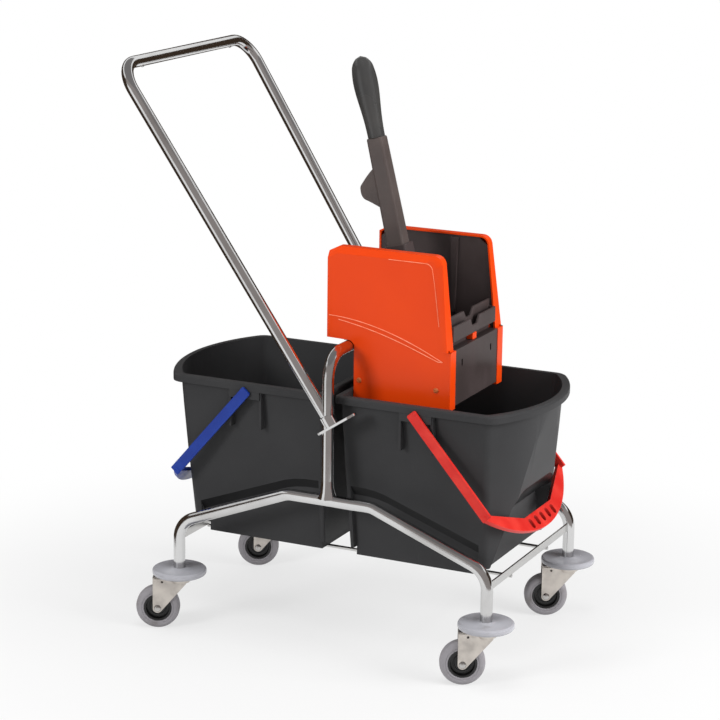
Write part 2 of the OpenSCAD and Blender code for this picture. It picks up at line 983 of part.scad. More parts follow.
module cover() {
    difference() {
        union() {
            difference() {
                cover_block(0);
                cover_notch(0);
                difference() {
                    cover_block(cover_wall);
                    cover_notch(cover_wall);
                }
            }
            cover_swoosh();
            for (x = screw_front)
                translate([x, -lining_out, screw_up - press_down])
                    rotate([90, 0, 0])
                        cylinder(h = press_half - lining_out - cover_wall / 2, d = screw_head_d + 2);
        }
        for (x = screw_front)
            translate([x, through - lining_out, screw_up - press_down])
                rotate([90, 0, 0])
                    cylinder(h = press_half, d = screw_d + 2 * seat_gap);
    }
}

module press_cover_near() {
    color("orangered")
        press_frame()
            cover();
}

module press_cover_far() {
    color("orangered")
        press_frame()
            mirror([0, 1, 0])
                cover();
}

module press_screws() {
    color("gainsboro")
        press_frame()
            for (x = screw_front, side = [0, 1])
                mirror([0, side, 0])
                    translate([x, 0, screw_up - press_down])
                        rotate([90, 0, 0]) {
                            translate([0, 0, lining_in])
                                cylinder(h = press_half - lining_in, d = screw_d);
                            translate([0, 0, press_half])
                                cylinder(h = screw_head_t, d1 = screw_head_d, d2 = screw_head_d / 2);
                        }
}

// One side wall of the press body: it follows the covers inside their edges
module lining() {
    polygon([
        [rear_x, body_low], [body_front - body_edge, body_low],
        [body_front - body_edge, box_top], [front_mid - body_edge - 1, box_top], [body_rake_x, press_up - cover_corner],
        [body_rake_x - cover_corner, press_up - body_edge], [cover_chamfer - press_back + body_edge, press_up - body_edge],
        [body_edge - press_back, press_up - cover_chamfer], [body_edge - press_back, overhang_z + body_edge],
        [rear_x, overhang_z + body_edge]
    ]);
}

// A block across the press, from one X and Z to another, as wide as twice a half width
module across(from, to, half) {
    translate([from.x, -half, from.y])
        cube([to.x - from.x, 2 * half, to.y - from.y]);
}

module body_shell() {
    for (side = [-1, 1])
        translate([0, side > 0 ? lining_out : -lining_in, 0])
            stand_xz()
                linear_extrude(body_wall)
                    lining();
    // Rear wall
    across([rear_x + 0.5, body_low + 0.5], [rear_x + 0.5 + body_wall, rear_wall_top - hoop_z], tie_half);
    // Saddle beam that rests on the hoop, and the bridge that ties it to the side walls
    across([-saddle_r - 2 * body_wall, lip_z], [rear_x + 2, overhang_z + body_edge + 2], span_half);
    across([body_edge - press_back + 1, overhang_z + body_edge + 0.5],
           [rear_x + 2, overhang_z + body_edge + body_wall], tie_half);
    // Front wall of the box, its face between the covers and its turned-in top edge
    across([body_front - 2 * body_wall, body_low + 0.5], [body_front - body_wall - 0.2, box_top - 0.5], tie_half);
    across([body_front - 2 * body_wall + 0.5, body_low + 1], [body_front, box_top], span_half);
    across([plate_x + body_wall + rest_gap, box_top - body_wall], [body_front - body_wall - 0.5, box_top - 0.2], tie_half);
    press_floor();
    // Guide ribs on the side walls, wider towards the top
    for (side = [-1, 1])
        translate([lever_x + 12, side > 0 ? tie_half : guide_t - tie_half, 0])
            stand_xz()
                linear_extrude(guide_t)
                    polygon([
                        [-guide_w / 4, box_top + 20], [guide_w / 4, box_top + 20],
                        [guide_w / 2, press_up - 2 * body_edge], [-guide_w / 2, press_up - 2 * body_edge]
                    ]);
}

drain_slots = 7;
drain_len = 22;

// Floor with a row of drain slots behind the lever's pivot and a row in front of it
module press_floor() {
    drain_pitch = 2 * lining_in / drain_slots;
    difference() {
        across([rear_x + 1, body_low + 0.2], [body_front - body_wall - 1, body_low + body_wall], tie_half);
        for (i = [0 : drain_slots - 1], row = [-1, 1])
            translate([lever_x + row * (drain_len + shaft_d), (i - (drain_slots - 1) / 2) * drain_pitch, body_low - through])
                linear_extrude(body_wall + 2 * through)
                    stadium(drain_len, drain_pitch / 2);
    }
}

module press_body() {
    color("dimgray")
        press_frame()
            difference() {
                union() {
                    body_shell();
                    lever_stop();
                }
                rotate([90, 0, 0])
                    cylinder(h = press_w, r = saddle_r, center = true);
                for (x = screw_front)
                    translate([x, -press_half, screw_up - press_down])
                        rotate([-90, 0, 0])
                            cylinder(h = press_w, d = screw_d + 2 * seat_gap);
                translate([lever_x, -press_half, lever_z - press_down])
                    rotate([-90, 0, 0])
                        cylinder(h = press_w, r = shaft_r + seat_gap);
                // Keyhole slots in the front of the box
                for (side = [-1, 1])
                    translate([body_front - 3 * body_wall, side * 60, box_top - 26])
                        rotate([0, 90, 0])
                            linear_extrude(4 * body_wall)
                                stadium(12, 5);
            }
}

// The block behind the lever's socket that holds the lever at its rest lean
module lever_stop() {
    intersection() {
        across([rear_x + 1, rear_wall_top - hoop_z - stop_h], [lever_x, rear_wall_top - hoop_z - 1], socket_half);
        translate([lever_x, 0, lever_z - press_down])
            rotate([0, -lever_lean, 0])
                translate([-lever_x - socket_depth / 2 - rest_gap, -press_half, 0])
                    cube([lever_x, press_w, socket_top]);
    }
}

// The fixed front jaw: a plate behind a stepped bar, both notched in the middle
module front_jaw() {
    half = lining_in - seat_gap;
    foot_z = body_low + body_wall;
    color("dimgray")
        press_frame()
            difference() {
                union() {
                    across([plate_x, foot_z], [plate_x + body_wall, plate_top - hoop_z], half);
                    across([plate_x + 1, bar_low], [bar_front, bar_high], span_half);
                }
                across([plate_x + body_wall, bar_low + body_wall], [bar_front - body_wall, bar_high + through],
                       span_half - body_wall);
                jaw_notch(plate_top - hoop_z, plate_x - through, plate_x + body_wall + through);
                jaw_notch(bar_high, plate_x + body_wall, bar_front + through);
            }
}

module jaw_notch(top, x0, x1) {
    translate([x0, 0, top])
        stand_yz()
            linear_extrude(x1 - x0)
                polygon([
                    [-notch_w / 2 - through, through], [-notch_w / 4, -notch_d],
                    [notch_w / 4, -notch_d], [notch_w / 2 + through, through]
                ]);
}

// A small buffer on the box's top edge, under the bar
module jaw_stop() {
    color("red")
        press_frame()
            translate([body_front - 4 * body_wall, -8, box_top])
                cube([3 * body_wall, 16, bar_low - box_top - rest_gap]);
}

module pivot_shaft() {
    color("gainsboro")
        press_frame()
            translate([lever_x, -lining_out, lever_z - press_down])
                rotate([-90, 0, 0])
                    cylinder(h = 2 * lining_out, r = shaft_r);
}

// Lever
// The lever's own frame: Z runs from the pivot along the lever, X points to the front jaw

module lever_frame() {
    translate([pivot.x, 0, pivot.y])
        rotate([0, -lever_lean, 0])
            children();
}

socket_depth = lever_w + 2 * socket_wall;
socket_half = lever_d / 2 + socket_wall;
jaw_ribs = 7;
jaw_rib_t = 5;

module rear_jaw() {
    hub_r = shaft_r + socket_wall;
    rib_pitch = 2 * jaw_half / jaw_ribs;
    color("dimgray")
        lever_frame()
            difference() {
                union() {
                    translate([-jaw_t / 2, -jaw_half, 0])
                        cube([jaw_t, 2 * jaw_half, jaw_h]);
                    rotate([90, 0, 0])
                        cylinder(h = 2 * jaw_half, r = hub_r, center = true);
                    for (i = [0 : jaw_ribs - 1])
                        translate([0, (i - (jaw_ribs - 1) / 2) * rib_pitch - jaw_rib_t / 2, hub_r])
                            cube([jaw_t / 2 + jaw_rib, jaw_rib_t, jaw_h - hub_r]);
                    translate([0, 0, socket_low])
                        linear_extrude(socket_top - socket_low)
                            rounded_square(socket_depth, 2 * socket_half, socket_wall);
                }
                translate([0, 0, arm_low - rest_gap])
                    linear_extrude(socket_top)
                        rounded_square(lever_w + 2 * seat_gap, lever_d + 2 * seat_gap, socket_wall + seat_gap);
                rotate([90, 0, 0])
                    cylinder(h = press_w, r = shaft_r + run_gap, center = true);
            }
}

// The arm tapers from its socket to the grip, with a hook on its back
module lever_arm() {
    color("gray")
        lever_frame() {
            translate([0, 0, arm_low])
                linear_extrude(socket_top - arm_low + rest_gap)
                    rounded_square(lever_w, lever_d, socket_wall);
            hull() {
                translate([0, 0, socket_top])
                    linear_extrude(0.1)
                        rounded_square(lever_w, lever_d, socket_wall);
                translate([0, 0, lever_len - 0.1])
                    linear_extrude(0.1)
                        rounded_square(lever_w * lever_taper, lever_d * lever_taper, 2 * socket_wall);
            }
            translate([0, 0, lever_len])
                cylinder(h = tang_h, d = tang_d);
            translate([-lever_w * lever_taper / 4, hook_t / 2, 0])
                stand_xz()
                    linear_extrude(hook_t)
                        lever_hook();
        }
}

module lever_hook() {
    tip = [-hook_reach, hook_low + 30];
    tip_r = 7;
    polygon(concat(
        [[0, hook_low]],
        arc(tip, tip_r, 250, 150, 6),
        [[0, hook_high]]
    ));
}

// Radius of the hand grip along its length: a waist near the seam, a bulge near the top
function grip_r(t) = lever_grip_d / 2 * (0.70 + 0.30 * pow(sin(180 * pow(t, 1.7)), 1.2)) * (t < 0.86 ? 1 : sqrt(1 - pow((t - 0.86) / 0.14, 2)));

grip_steps = 22;

module lever_grip() {
    color("dimgray")
        lever_frame()
            translate([0, 0, lever_len + seat_gap])
                difference() {
                    rotate_extrude()
                        polygon(concat(
                            [[0, 0]],
                            [for (i = [0 : grip_steps]) [grip_r(i / grip_steps), lever_grip_len * i / grip_steps]],
                            [[0, lever_grip_len]]
                        ));
                    translate([0, 0, -through])
                        cylinder(h = tang_h + through + rest_gap, d = tang_d + 2 * seat_gap);
                }
}

side_rail(-1);  // side_rail_near
side_rail(1);  // side_rail_far
hoop();
crossbar(-1);  // crossbar_left
crossbar(1);  // crossbar_right
support_rod(-1);  // support_rod_near
support_rod(1);  // support_rod_far
push_handle();
handle_lug(-1);  // handle_lug_near
handle_lug(1);  // handle_lug_far
castor_stem(left_near);  // castor_stem_left_near
castor_stem(left_far);  // castor_stem_left_far
castor_stem(right_near);  // castor_stem_right_near
castor_stem(right_far);  // castor_stem_right_far
bumper_disc(left_near);  // bumper_disc_left_near
bumper_disc(left_far);  // bumper_disc_left_far
bumper_disc(right_near);  // bumper_disc_right_near
bumper_disc(right_far);  // bumper_disc_right_far
castor_fork(left_near);  // castor_fork_left_near
castor_fork(left_far);  // castor_fork_left_far
castor_fork(right_near);  // castor_fork_right_near
castor_fork(right_far);  // castor_fork_right_far
castor_axle(left_near);  // castor_axle_left_near
castor_axle(left_far);  // castor_axle_left_far
castor_axle(right_near);  // castor_axle_right_near
castor_axle(right_far);  // castor_axle_right_far
wheel_hub(left_near);  // wheel_hub_left_near
wheel_hub(left_far);  // wheel_hub_left_far
wheel_hub(right_near);  // wheel_hub_right_near
wheel_hub(right_far);  // wheel_hub_right_far
wheel_tyre(left_near);  // wheel_tyre_left_near
wheel_tyre(left_far);  // wheel_tyre_left_far
wheel_tyre(right_near);  // wheel_tyre_right_near
wheel_tyre(right_far);  // wheel_tyre_right_far
bucket_left();
bucket_right();
bail_left();
bail_right();
press_body();
press_cover_near();
press_cover_far();
press_screws();
front_jaw();
jaw_stop();
pivot_shaft();
rear_jaw();
lever_arm();
lever_grip();
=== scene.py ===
import math

import bmesh
import bpy
from mathutils import Matrix, Vector


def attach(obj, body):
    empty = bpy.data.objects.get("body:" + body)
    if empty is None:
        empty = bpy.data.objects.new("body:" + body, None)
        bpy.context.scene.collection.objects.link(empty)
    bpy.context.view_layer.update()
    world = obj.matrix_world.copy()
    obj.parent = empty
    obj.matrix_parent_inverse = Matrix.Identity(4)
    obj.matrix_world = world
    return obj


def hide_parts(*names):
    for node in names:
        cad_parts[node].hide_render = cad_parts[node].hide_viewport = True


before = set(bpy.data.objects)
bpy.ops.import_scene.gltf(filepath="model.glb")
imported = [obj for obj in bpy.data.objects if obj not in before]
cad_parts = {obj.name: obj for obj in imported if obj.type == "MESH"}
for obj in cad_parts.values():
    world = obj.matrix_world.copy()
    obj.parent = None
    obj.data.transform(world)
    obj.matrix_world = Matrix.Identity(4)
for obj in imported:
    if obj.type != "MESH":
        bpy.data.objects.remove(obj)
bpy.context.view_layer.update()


# --- Side rails ---------------------------------------
# Two steel tubes, bent cold to two legs, two slopes and a level top, then chromed.
# Castor stems plug the legs from below and the hoop is welded on the level top.

TUBE_R = 0.010
TUBE_SIDES = 32
BEND_STEPS = 12
RAIL_Y = 0.183
BASE_X = 0.285
LEG_END_Z = 0.096
SLOPE_Z = 0.189
LEVEL_X = 0.077
RAIL_Z = 0.269
RAIL_BEND_R = 0.042
RAIL_PATH = [
    (-BASE_X, LEG_END_Z), (-BASE_X, SLOPE_Z), (-LEVEL_X, RAIL_Z),
    (LEVEL_X, RAIL_Z), (BASE_X, SLOPE_Z), (BASE_X, LEG_END_Z),
]
SIDES = {"near": -1, "far": 1}
STAND_XZ = Matrix.Rotation(math.radians(90), 4, "X")
SHARP_FROM = math.radians(40)
BEVEL_FROM = math.radians(32)


class Shade:
    """An output of a material's nodes; sums on it add nodes, as sums on numbers would."""

    def __init__(self, tree, socket=None):
        self.tree = tree
        self.socket = socket

    def node(self, kind, settings=None, sockets=None, out=0):
        """Adds a node: first its settings, then a value or a link for each socket named."""
        made = self.tree.nodes.new(kind)
        for key, value in (settings or {}).items():
            setattr(made, key, value)
        for key, value in (sockets or {}).items():
            if isinstance(value, Shade):
                self.tree.links.new(value.socket, made.inputs[key])
            else:
                made.inputs[key].default_value = value
        return Shade(self.tree, made.outputs[out])

    def maths(self, operation, a, b):
        return self.node("ShaderNodeMath", {"operation": operation}, {0: a, 1: b})

    def __add__(self, other):
        return self.maths("ADD", self, other)

    def __radd__(self, other):
        return self.maths("ADD", other, self)

    def __mul__(self, other):
        return self.maths("MULTIPLY", self, other)

    def stretched(self, x, y, z):
        """The place, with lengths along each axis scaled."""
        return self.node("ShaderNodeVectorMath", {"operation": "MULTIPLY"}, {0: self, 1: (x, y, z)})

    def noise(self, scale, detail):
        return self.node(
            "ShaderNodeTexNoise", None, {"Vector": self, "Scale": scale, "Detail": detail})

    def span(self, low, high):
        """0 up to the low value, 1 from the high value, and a soft step between them."""
        return self.node(
            "ShaderNodeMapRange", {"interpolation_type": "SMOOTHSTEP"},
            {"Value": self, "From Min": low, "From Max": high})

    def blend(self, a, b):
        """Colour a where this is 0, colour b where it is 1."""
        return self.node(
            "ShaderNodeMix", {"data_type": "RGBA"}, {0: self, 6: a, 7: b}, out=2)

    def bump(self, strength, height):
        return self.node(
            "ShaderNodeBump", None, {"Height": self, "Strength": strength, "Distance": height})


def start_material(name):
    """A new material, and the place on the object to lay its pattern by."""
    made = bpy.data.materials.new(name)
    made.use_nodes = True
    place = Shade(made.node_tree).node("ShaderNodeTexCoord", out="Object")
    return made, place


def dress(made, sockets):
    """Sets or links the sockets of the material's own shader."""
    shader = made.node_tree.nodes["Principled BSDF"]
    for key, value in sockets.items():
        if isinstance(value, Shade):
            made.node_tree.links.new(value.socket, shader.inputs[key])
        else:
            shader.inputs[key].default_value = value


def colour(red, green, blue):
    """A colour as it is read off a screen, in the linear values that shaders take."""
    def linear(value):
        value = value / 255
        return value / 12.92 if value <= 0.04045 else ((value + 0.055) / 1.055) ** 2.4
    return (linear(red), linear(green), linear(blue), 1.0)


def only_verts(geom):
    """The vertices among what a mesh operator gives back."""
    return [item for item in geom if isinstance(item, bmesh.types.BMVert)]


def ring_edges(ring):
    return list({
        edge for vert in ring for edge in vert.link_edges if edge.other_vert(vert) in ring})


def draw_tube(bm, path, bend_r, place):
    """A round tube along a flat path: its end ring is drawn out straight and spun at bends."""
    points = [Vector((a, b, 0)) for a, b in path]
    heading = (points[1] - points[0]).normalized()
    facing = Vector((0, 0, 1)).rotation_difference(heading).to_matrix().to_4x4()
    ring = bmesh.ops.create_circle(
        bm, segments=TUBE_SIDES, radius=TUBE_R,
        matrix=Matrix.Translation(points[0]) @ facing)["verts"]
    start = ring
    at = points[0]
    for corner, after in zip(points[1:], points[2:] + [None]):
        stop = corner
        if after is not None:
            onward = (after - corner).normalized()
            turn = heading.angle(onward)
            stop = corner - heading * bend_r * math.tan(turn / 2)
        drawn = bmesh.ops.extrude_edge_only(bm, edges=ring_edges(ring))["geom"]
        ring = only_verts(drawn)
        bmesh.ops.translate(bm, verts=ring, vec=stop - at)
        at = stop
        if after is not None:
            axis = heading.cross(onward).normalized()
            centre = stop + axis.cross(heading) * bend_r
            spun = bmesh.ops.spin(
                bm, geom=ring + ring_edges(ring), cent=centre, axis=axis, angle=turn,
                steps=BEND_STEPS)["geom_last"]
            ring = only_verts(spun)
            at = corner + onward * bend_r * math.tan(turn / 2)
            heading = onward
    for end in (start, ring):
        bmesh.ops.contextual_create(bm, geom=end)
    bmesh.ops.transform(bm, matrix=place, verts=bm.verts)


def make_object(bm, name, looks):
    """Turns the mesh into an object of one material."""
    mesh = bpy.data.meshes.new(name)
    bm.to_mesh(mesh)
    bm.free()
    mesh.materials.append(looks)
    mesh.shade_smooth()
    piece = bpy.data.objects.new(name, mesh)
    bpy.context.scene.collection.objects.link(piece)
    return piece


def ease_edges(piece, width, segments, angle):
    """Rounds the edges at which the surface turns by more than an angle."""
    soft = piece.modifiers.new("edges", "BEVEL")
    soft.width = width
    soft.segments = segments
    soft.limit_method = "ANGLE"
    soft.angle_limit = angle
    piece.modifiers.new("shading", "WEIGHTED_NORMAL").keep_sharp = True


def make_piece(bm, name, looks, bevel=0.0, segments=2):
    """Turns the mesh into an object; a bevel rounds its edges by that many metres."""
    bmesh.ops.recalc_face_normals(bm, faces=bm.faces)
    piece = make_object(bm, name, looks)
    if bevel:
        ease_edges(piece, bevel, segments, BEVEL_FROM)
    else:
        piece.data.set_sharp_from_angle(angle=SHARP_FROM)
    return piece


def stand_in(piece, body, slot, *nodes):
    """Lets the piece ride a body and show in place of CAD nodes."""
    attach(piece, body)
    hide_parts(*nodes)


chrome, place = start_material("chrome_tube")
smudge = place.noise(9.0, 4.0).span(0.42, 0.72)
streak = place.noise(120.0, 2.0).span(0.35, 0.8)
dress(chrome, {
    "Base Color": smudge.blend(colour(214, 214, 214), colour(196, 195, 194)),
    "Metallic": 1.0,
    "Roughness": 0.13 + smudge * 0.06 + streak * 0.03,
    "Normal": place.noise(38.0, 1.0).bump(0.015, 0.001),
})

for side, sign in SIDES.items():
    bm = bmesh.new()
    draw_tube(bm, RAIL_PATH, RAIL_BEND_R, Matrix.Translation((0, sign * RAIL_Y, 0)) @ STAND_XZ)
    rail = make_piece(bm, f"rail_{side}", chrome)
    stand_in(rail, "frame", "chrome_tube", f"side_rail_{side}")


# --- Hoop ---------------------------------------------
# One chromed tube bent to a square arch. Its posts are coped on the rails and welded there,
# and the weld is dressed to a flare; the press hangs on the level top.

HOOP_X = -0.004
HOOP_Z = 0.515
HOOP_BEND_R = 0.042
HOOP_PATH = [(-RAIL_Y, RAIL_Z), (-RAIL_Y, HOOP_Z), (RAIL_Y, HOOP_Z), (RAIL_Y, RAIL_Z)]
FLARE = [
    (0.0088, 0.0045), (0.0160, 0.0045), (0.0146, 0.0090), (0.0122, 0.0160),
    (0.0108, 0.0240), (0.0100, 0.0350), (0.0088, 0.0350),
]
STAND_YZ = Matrix(((0, 0, 1, 0), (1, 0, 0, 0), (0, 1, 0, 0), (0, 0, 0, 1)))
TINY = 1e-6


def turn_profile(bm, profile, place, steps=48):
    """Spins a profile of radius and height round the Z axis of its place."""
    verts = [bm.verts.new((radius, 0, height)) for radius, height in profile]
    edges = [bm.edges.new(pair) for pair in zip(verts, verts[1:])]
    if profile[0][0] > 0 and profile[-1][0] > 0:
        edges.append(bm.edges.new((verts[-1], verts[0])))
    old = set(bm.verts) - set(verts)
    bmesh.ops.spin(
        bm, geom=verts + edges, cent=(0, 0, 0), axis=(0, 0, 1),
        angle=math.tau, steps=steps, use_merge=True)
    made = [vert for vert in bm.verts if vert not in old]
    bmesh.ops.remove_doubles(bm, verts=made, dist=TINY)
    made = [vert for vert in bm.verts if vert not in old]
    bmesh.ops.transform(bm, matrix=place, verts=made)


bm = bmesh.new()
draw_tube(bm, HOOP_PATH, HOOP_BEND_R, Matrix.Translation((HOOP_X, 0, 0)) @ STAND_YZ)
for sign in SIDES.values():
    turn_profile(bm, FLARE, Matrix.Translation((HOOP_X, sign * RAIL_Y, RAIL_Z)))
hoop = make_piece(bm, "hoop_tube", chrome)
stand_in(hoop, "frame", "chrome_tube", "hoop")


# --- Crossbars and support rods -----------------------
# Flat bars on edge, welded between the legs, and two round rods welded under them on which
# the buckets stand. Bright zinc-plated steel with a drawn grain along its length.

BAR_Z = (0.156, 0.170)
BAR_T = 0.003
ROD_R = 0.003
ROD_Y = 0.080
ENDS = {"left": -1, "right": 1}
LIE_X = Matrix.Rotation(math.radians(90), 4, "Y")

zinc_bar, place = start_material("zinc_bar")
drawn = place.stretched(1.0, 0.06, 1.0).noise(420.0, 3.0)
cloud = place.noise(16.0, 3.0)
dress(zinc_bar, {
    "Base Color": cloud.blend(colour(196, 196, 196), colour(222, 221, 218)),
    "Metallic": 1.0,
    "Roughness": 0.22 + drawn * 0.16 + cloud * 0.06,
    "Normal": drawn.bump(0.12, 0.0004),
})


def add_box(bm, corner, opposite, place=Matrix()):
    """A block between two opposite corners."""
    low, high = (Vector(values) for values in zip(*map(sorted, zip(corner, opposite))))
    size = Matrix.Diagonal((*(high - low), 1.0))
    bmesh.ops.create_cube(
        bm, size=1.0, matrix=place @ Matrix.Translation((low + high) / 2) @ size)


def add_rod(bm, radius, length, place, sides):
    """A round rod along the Z axis of its place, which is at its middle."""
    bmesh.ops.create_cone(
        bm, cap_ends=True, segments=sides, radius1=radius, radius2=radius, depth=length,
        matrix=place)


for end, sign in ENDS.items():
    bm = bmesh.new()
    add_box(bm, (sign * BASE_X - BAR_T / 2, -RAIL_Y, BAR_Z[0]),
            (sign * BASE_X + BAR_T / 2, RAIL_Y, BAR_Z[1]))
    bar = make_piece(bm, f"crossbar_{end}_bar", zinc_bar, bevel=0.0005)
    stand_in(bar, "frame", "zinc_bar", f"crossbar_{end}")

for side, sign in SIDES.items():
    bm = bmesh.new()
    under = Matrix.Translation((0, sign * ROD_Y, BAR_Z[0] - ROD_R))
    add_rod(bm, ROD_R, 2 * BASE_X + BAR_T, under @ LIE_X, sides=24)
    rod = make_piece(bm, f"rod_{side}", zinc_bar, bevel=0.0004)
    stand_in(rod, "frame", "zinc_bar", f"support_rod_{side}")


# --- Push handle and its lugs -------------------------
# A leaning U of chromed tube. Each leg ends in a collar on a plate, and collar and plate
# are welded round the hoop's post; the plate's free end has a hole for accessories.

HANDLE_Z = 0.409
HANDLE_LEAN = math.radians(-33.5)
HANDLE_FOOT = Matrix.Translation((HOOP_X, 0, HANDLE_Z)) @ Matrix.Rotation(HANDLE_LEAN, 4, "Y")
LEG_Y = (0.1833, 0.217)
LEG_RUN = (0.006, 0.669)
HANDLE_PATH = [
    (-LEG_Y[0], LEG_RUN[0]), (-LEG_Y[1], LEG_RUN[1]),
    (LEG_Y[1], LEG_RUN[1]), (LEG_Y[0], LEG_RUN[0]),
]
HANDLE_BEND_R = 0.045
RIVET = [(0, 0.0022), (0.0016, 0.0018), (0.0027, 0.0006), (0.0030, -0.0010), (0, -0.0010)]
RIVET_Y = 0.150
LUG_LEN = 0.080
LUG_W = 0.026
LUG_Z = (-0.017, -0.013)
LUG_SHIFT = 0.010
LUG_HOLE = (0.0413, 0.00325)
COLLAR = [
    (0.0096, -0.015), (0.0125, -0.015), (0.0125, 0.0048), (0.0118, 0.0058), (0.0096, 0.0060),
]


def trace(bm, start, moves):
    """A flat outline; a move is a point to go to, or a centre, an angle and steps to swing by."""
    verts = [bm.verts.new((*start, 0))]
    for move in moves:
        if len(move) == 2:
            verts.append(bm.verts.new((*move, 0)))
        else:
            x, y, angle, steps = move
            known = set(bm.verts)
            bmesh.ops.spin(
                bm, geom=[verts[-1]], cent=(x, y, 0), axis=(0, 0, 1),
                angle=math.radians(angle), steps=steps)
            verts += [vert for vert in bm.verts if vert not in known]
    return verts


def trace_hole(bm, x, y, radius, steps):
    return trace(bm, (x + radius, y), [(x, y, 360 - 360 / steps, steps - 1)])


def trace_slot(bm, x, y, run, half, steps):
    """Two straight runs and two round ends, the second of them open for the closing edge."""
    return trace(bm, (x - run, y - half), [
        (x + run, y - half), (x + run, y, 180, steps),
        (x - run, y + half), (x - run, y, 160, steps - 1)])


def loop_edges(bm, verts):
    """The edges of a closed outline, those that are missing added."""
    pairs = zip(verts, verts[1:] + verts[:1])
    return [bm.edges.get(pair) or bm.edges.new(pair) for pair in pairs]


def thicken(bm, known, low, high, place):
    """Draws the flat faces that aren't known yet out to a plate between two heights."""
    flat = [face for face in bm.faces if face not in known]
    corners = list({vert for face in flat for vert in face.verts})
    bmesh.ops.translate(bm, verts=corners, vec=(0, 0, low))
    raised = bmesh.ops.extrude_face_region(bm, geom=flat, use_keep_orig=True)["geom"]
    bmesh.ops.translate(bm, verts=only_verts(raised), vec=(0, 0, high - low))
    made = list({vert for face in bm.faces if face not in known for vert in face.verts})
    bmesh.ops.transform(bm, matrix=place, verts=made)


def add_plate(bm, outline, holes, low, high, place):
    """A flat plate between two heights, with holes through it."""
    known = set(bm.faces)
    edges = [edge for loop in [outline] + holes for edge in loop_edges(bm, loop)]
    bmesh.ops.triangle_fill(bm, use_beauty=True, use_dissolve=False, edges=edges)
    thicken(bm, known, low, high, place)


bm = bmesh.new()
draw_tube(bm, HANDLE_PATH, HANDLE_BEND_R, HANDLE_FOOT @ STAND_YZ)
for sign in SIDES.values():
    under = Matrix.Translation((0, sign * RIVET_Y, LEG_RUN[1] - TUBE_R))
    turn_profile(
        bm, RIVET, HANDLE_FOOT @ under @ Matrix.Rotation(math.pi, 4, "X"), steps=24)
handle = make_piece(bm, "handle_tube", chrome)
stand_in(handle, "frame", "chrome_tube", "push_handle")

for side, sign in SIDES.items():
    bm = bmesh.new()
    foot = HANDLE_FOOT @ Matrix.Translation((0, sign * RAIL_Y, 0))
    outline = trace_slot(bm, LUG_SHIFT, 0, (LUG_LEN - LUG_W) / 2, LUG_W / 2, steps=16)
    hole = trace_hole(bm, LUG_HOLE[0], 0, LUG_HOLE[1], steps=24)
    add_plate(bm, outline, [hole], *LUG_Z, foot)
    turn_profile(bm, COLLAR, foot)
    lug = make_piece(bm, f"lug_{side}", chrome, bevel=0.0006)
    stand_in(lug, "frame", "chrome_tube", f"handle_lug_{side}")


# --- Castor stems and bumper discs --------------------
# A steel plug is pressed into each leg and carries the kingpin, whose head holds the fork.
# Above it a moulded grey disc round the leg keeps the trolley off walls.

STEM = [
    (0, 0.0864), (0.0078, 0.0864), (0.0090, 0.0876), (0.0090, 0.0899), (0.0050, 0.0899),
    (0.0050, 0.0935), (0.0150, 0.0935), (0.0150, 0.0960), (0.0084, 0.0960), (0.0084, 0.1280),
    (0, 0.1280),
]
DISC_R = 0.0465
DISC_Z = (0.096, 0.107)
DISC_EDGE = 0.0042
RING_R = (0.0160, 0.0145)
RING_Z = DISC_Z[1] + 0.0012
CORNERS = {
    f"{end}_{side}": Vector((x * BASE_X, y * RAIL_Y, 0))
    for end, x in ENDS.items() for side, y in SIDES.items()
}

zinc_sheet, place = start_material("zinc_sheet")
spangle = place.node(
    "ShaderNodeTexVoronoi", None, {"Vector": place, "Scale": 260.0}, out="Distance")
cloud = place.noise(45.0, 3.0).span(0.3, 0.75)
dress(zinc_sheet, {
    "Base Color": cloud.blend(colour(214, 207, 199), colour(188, 182, 176)),
    "Metallic": 1.0,
    "Roughness": 0.26 + spangle * 0.12 + cloud * 0.08,
    "Normal": spangle.bump(0.05, 0.0006),
})

disc_grey, place = start_material("disc_grey")
scuff = place.stretched(1.0, 1.0, 3.0).noise(70.0, 5.0).span(0.56, 0.78)
dress(disc_grey, {
    "Base Color": scuff.blend(colour(164, 164, 170), colour(144, 143, 147)),
    "Roughness": 0.20 + scuff * 0.2,
    "Normal": place.noise(900.0, 2.0).bump(0.06, 0.0005),
})


def round_profile(corner, radius, start):
    """Points of a quarter round in a profile, about a centre, from a start angle."""
    angles = [math.radians(start + turn) for turn in range(0, 91, 18)]
    return [(corner[0] + radius * math.cos(a), corner[1] + radius * math.sin(a)) for a in angles]


disc_profile = [
    (TUBE_R, DISC_Z[0]),
    *round_profile((DISC_R - DISC_EDGE, DISC_Z[0] + DISC_EDGE), DISC_EDGE, -90),
    *round_profile((DISC_R - DISC_EDGE, DISC_Z[1] - DISC_EDGE), DISC_EDGE, 0),
    (RING_R[0], DISC_Z[1]), (RING_R[1], RING_Z), (TUBE_R, RING_Z),
]

for name, corner in CORNERS.items():
    bm = bmesh.new()
    turn_profile(bm, STEM, Matrix.Translation(corner))
    stem = make_piece(bm, f"stem_{name}", zinc_sheet, bevel=0.0004)
    stand_in(stem, "frame", "zinc_sheet", f"castor_stem_{name}")

    bm = bmesh.new()
    turn_profile(bm, disc_profile, Matrix.Translation(corner), steps=72)
    disc = make_piece(bm, f"disc_{name}", disc_grey)
    stand_in(disc, "frame", "disc_grey", f"bumper_disc_{name}")


# --- Castor forks and axles ---------------------------
# A fork is folded from zinc-plated sheet: a crown with a pressed swivel cup, and two sides
# that narrow to the axle. The axle is a steel pin, riveted over at both ends.

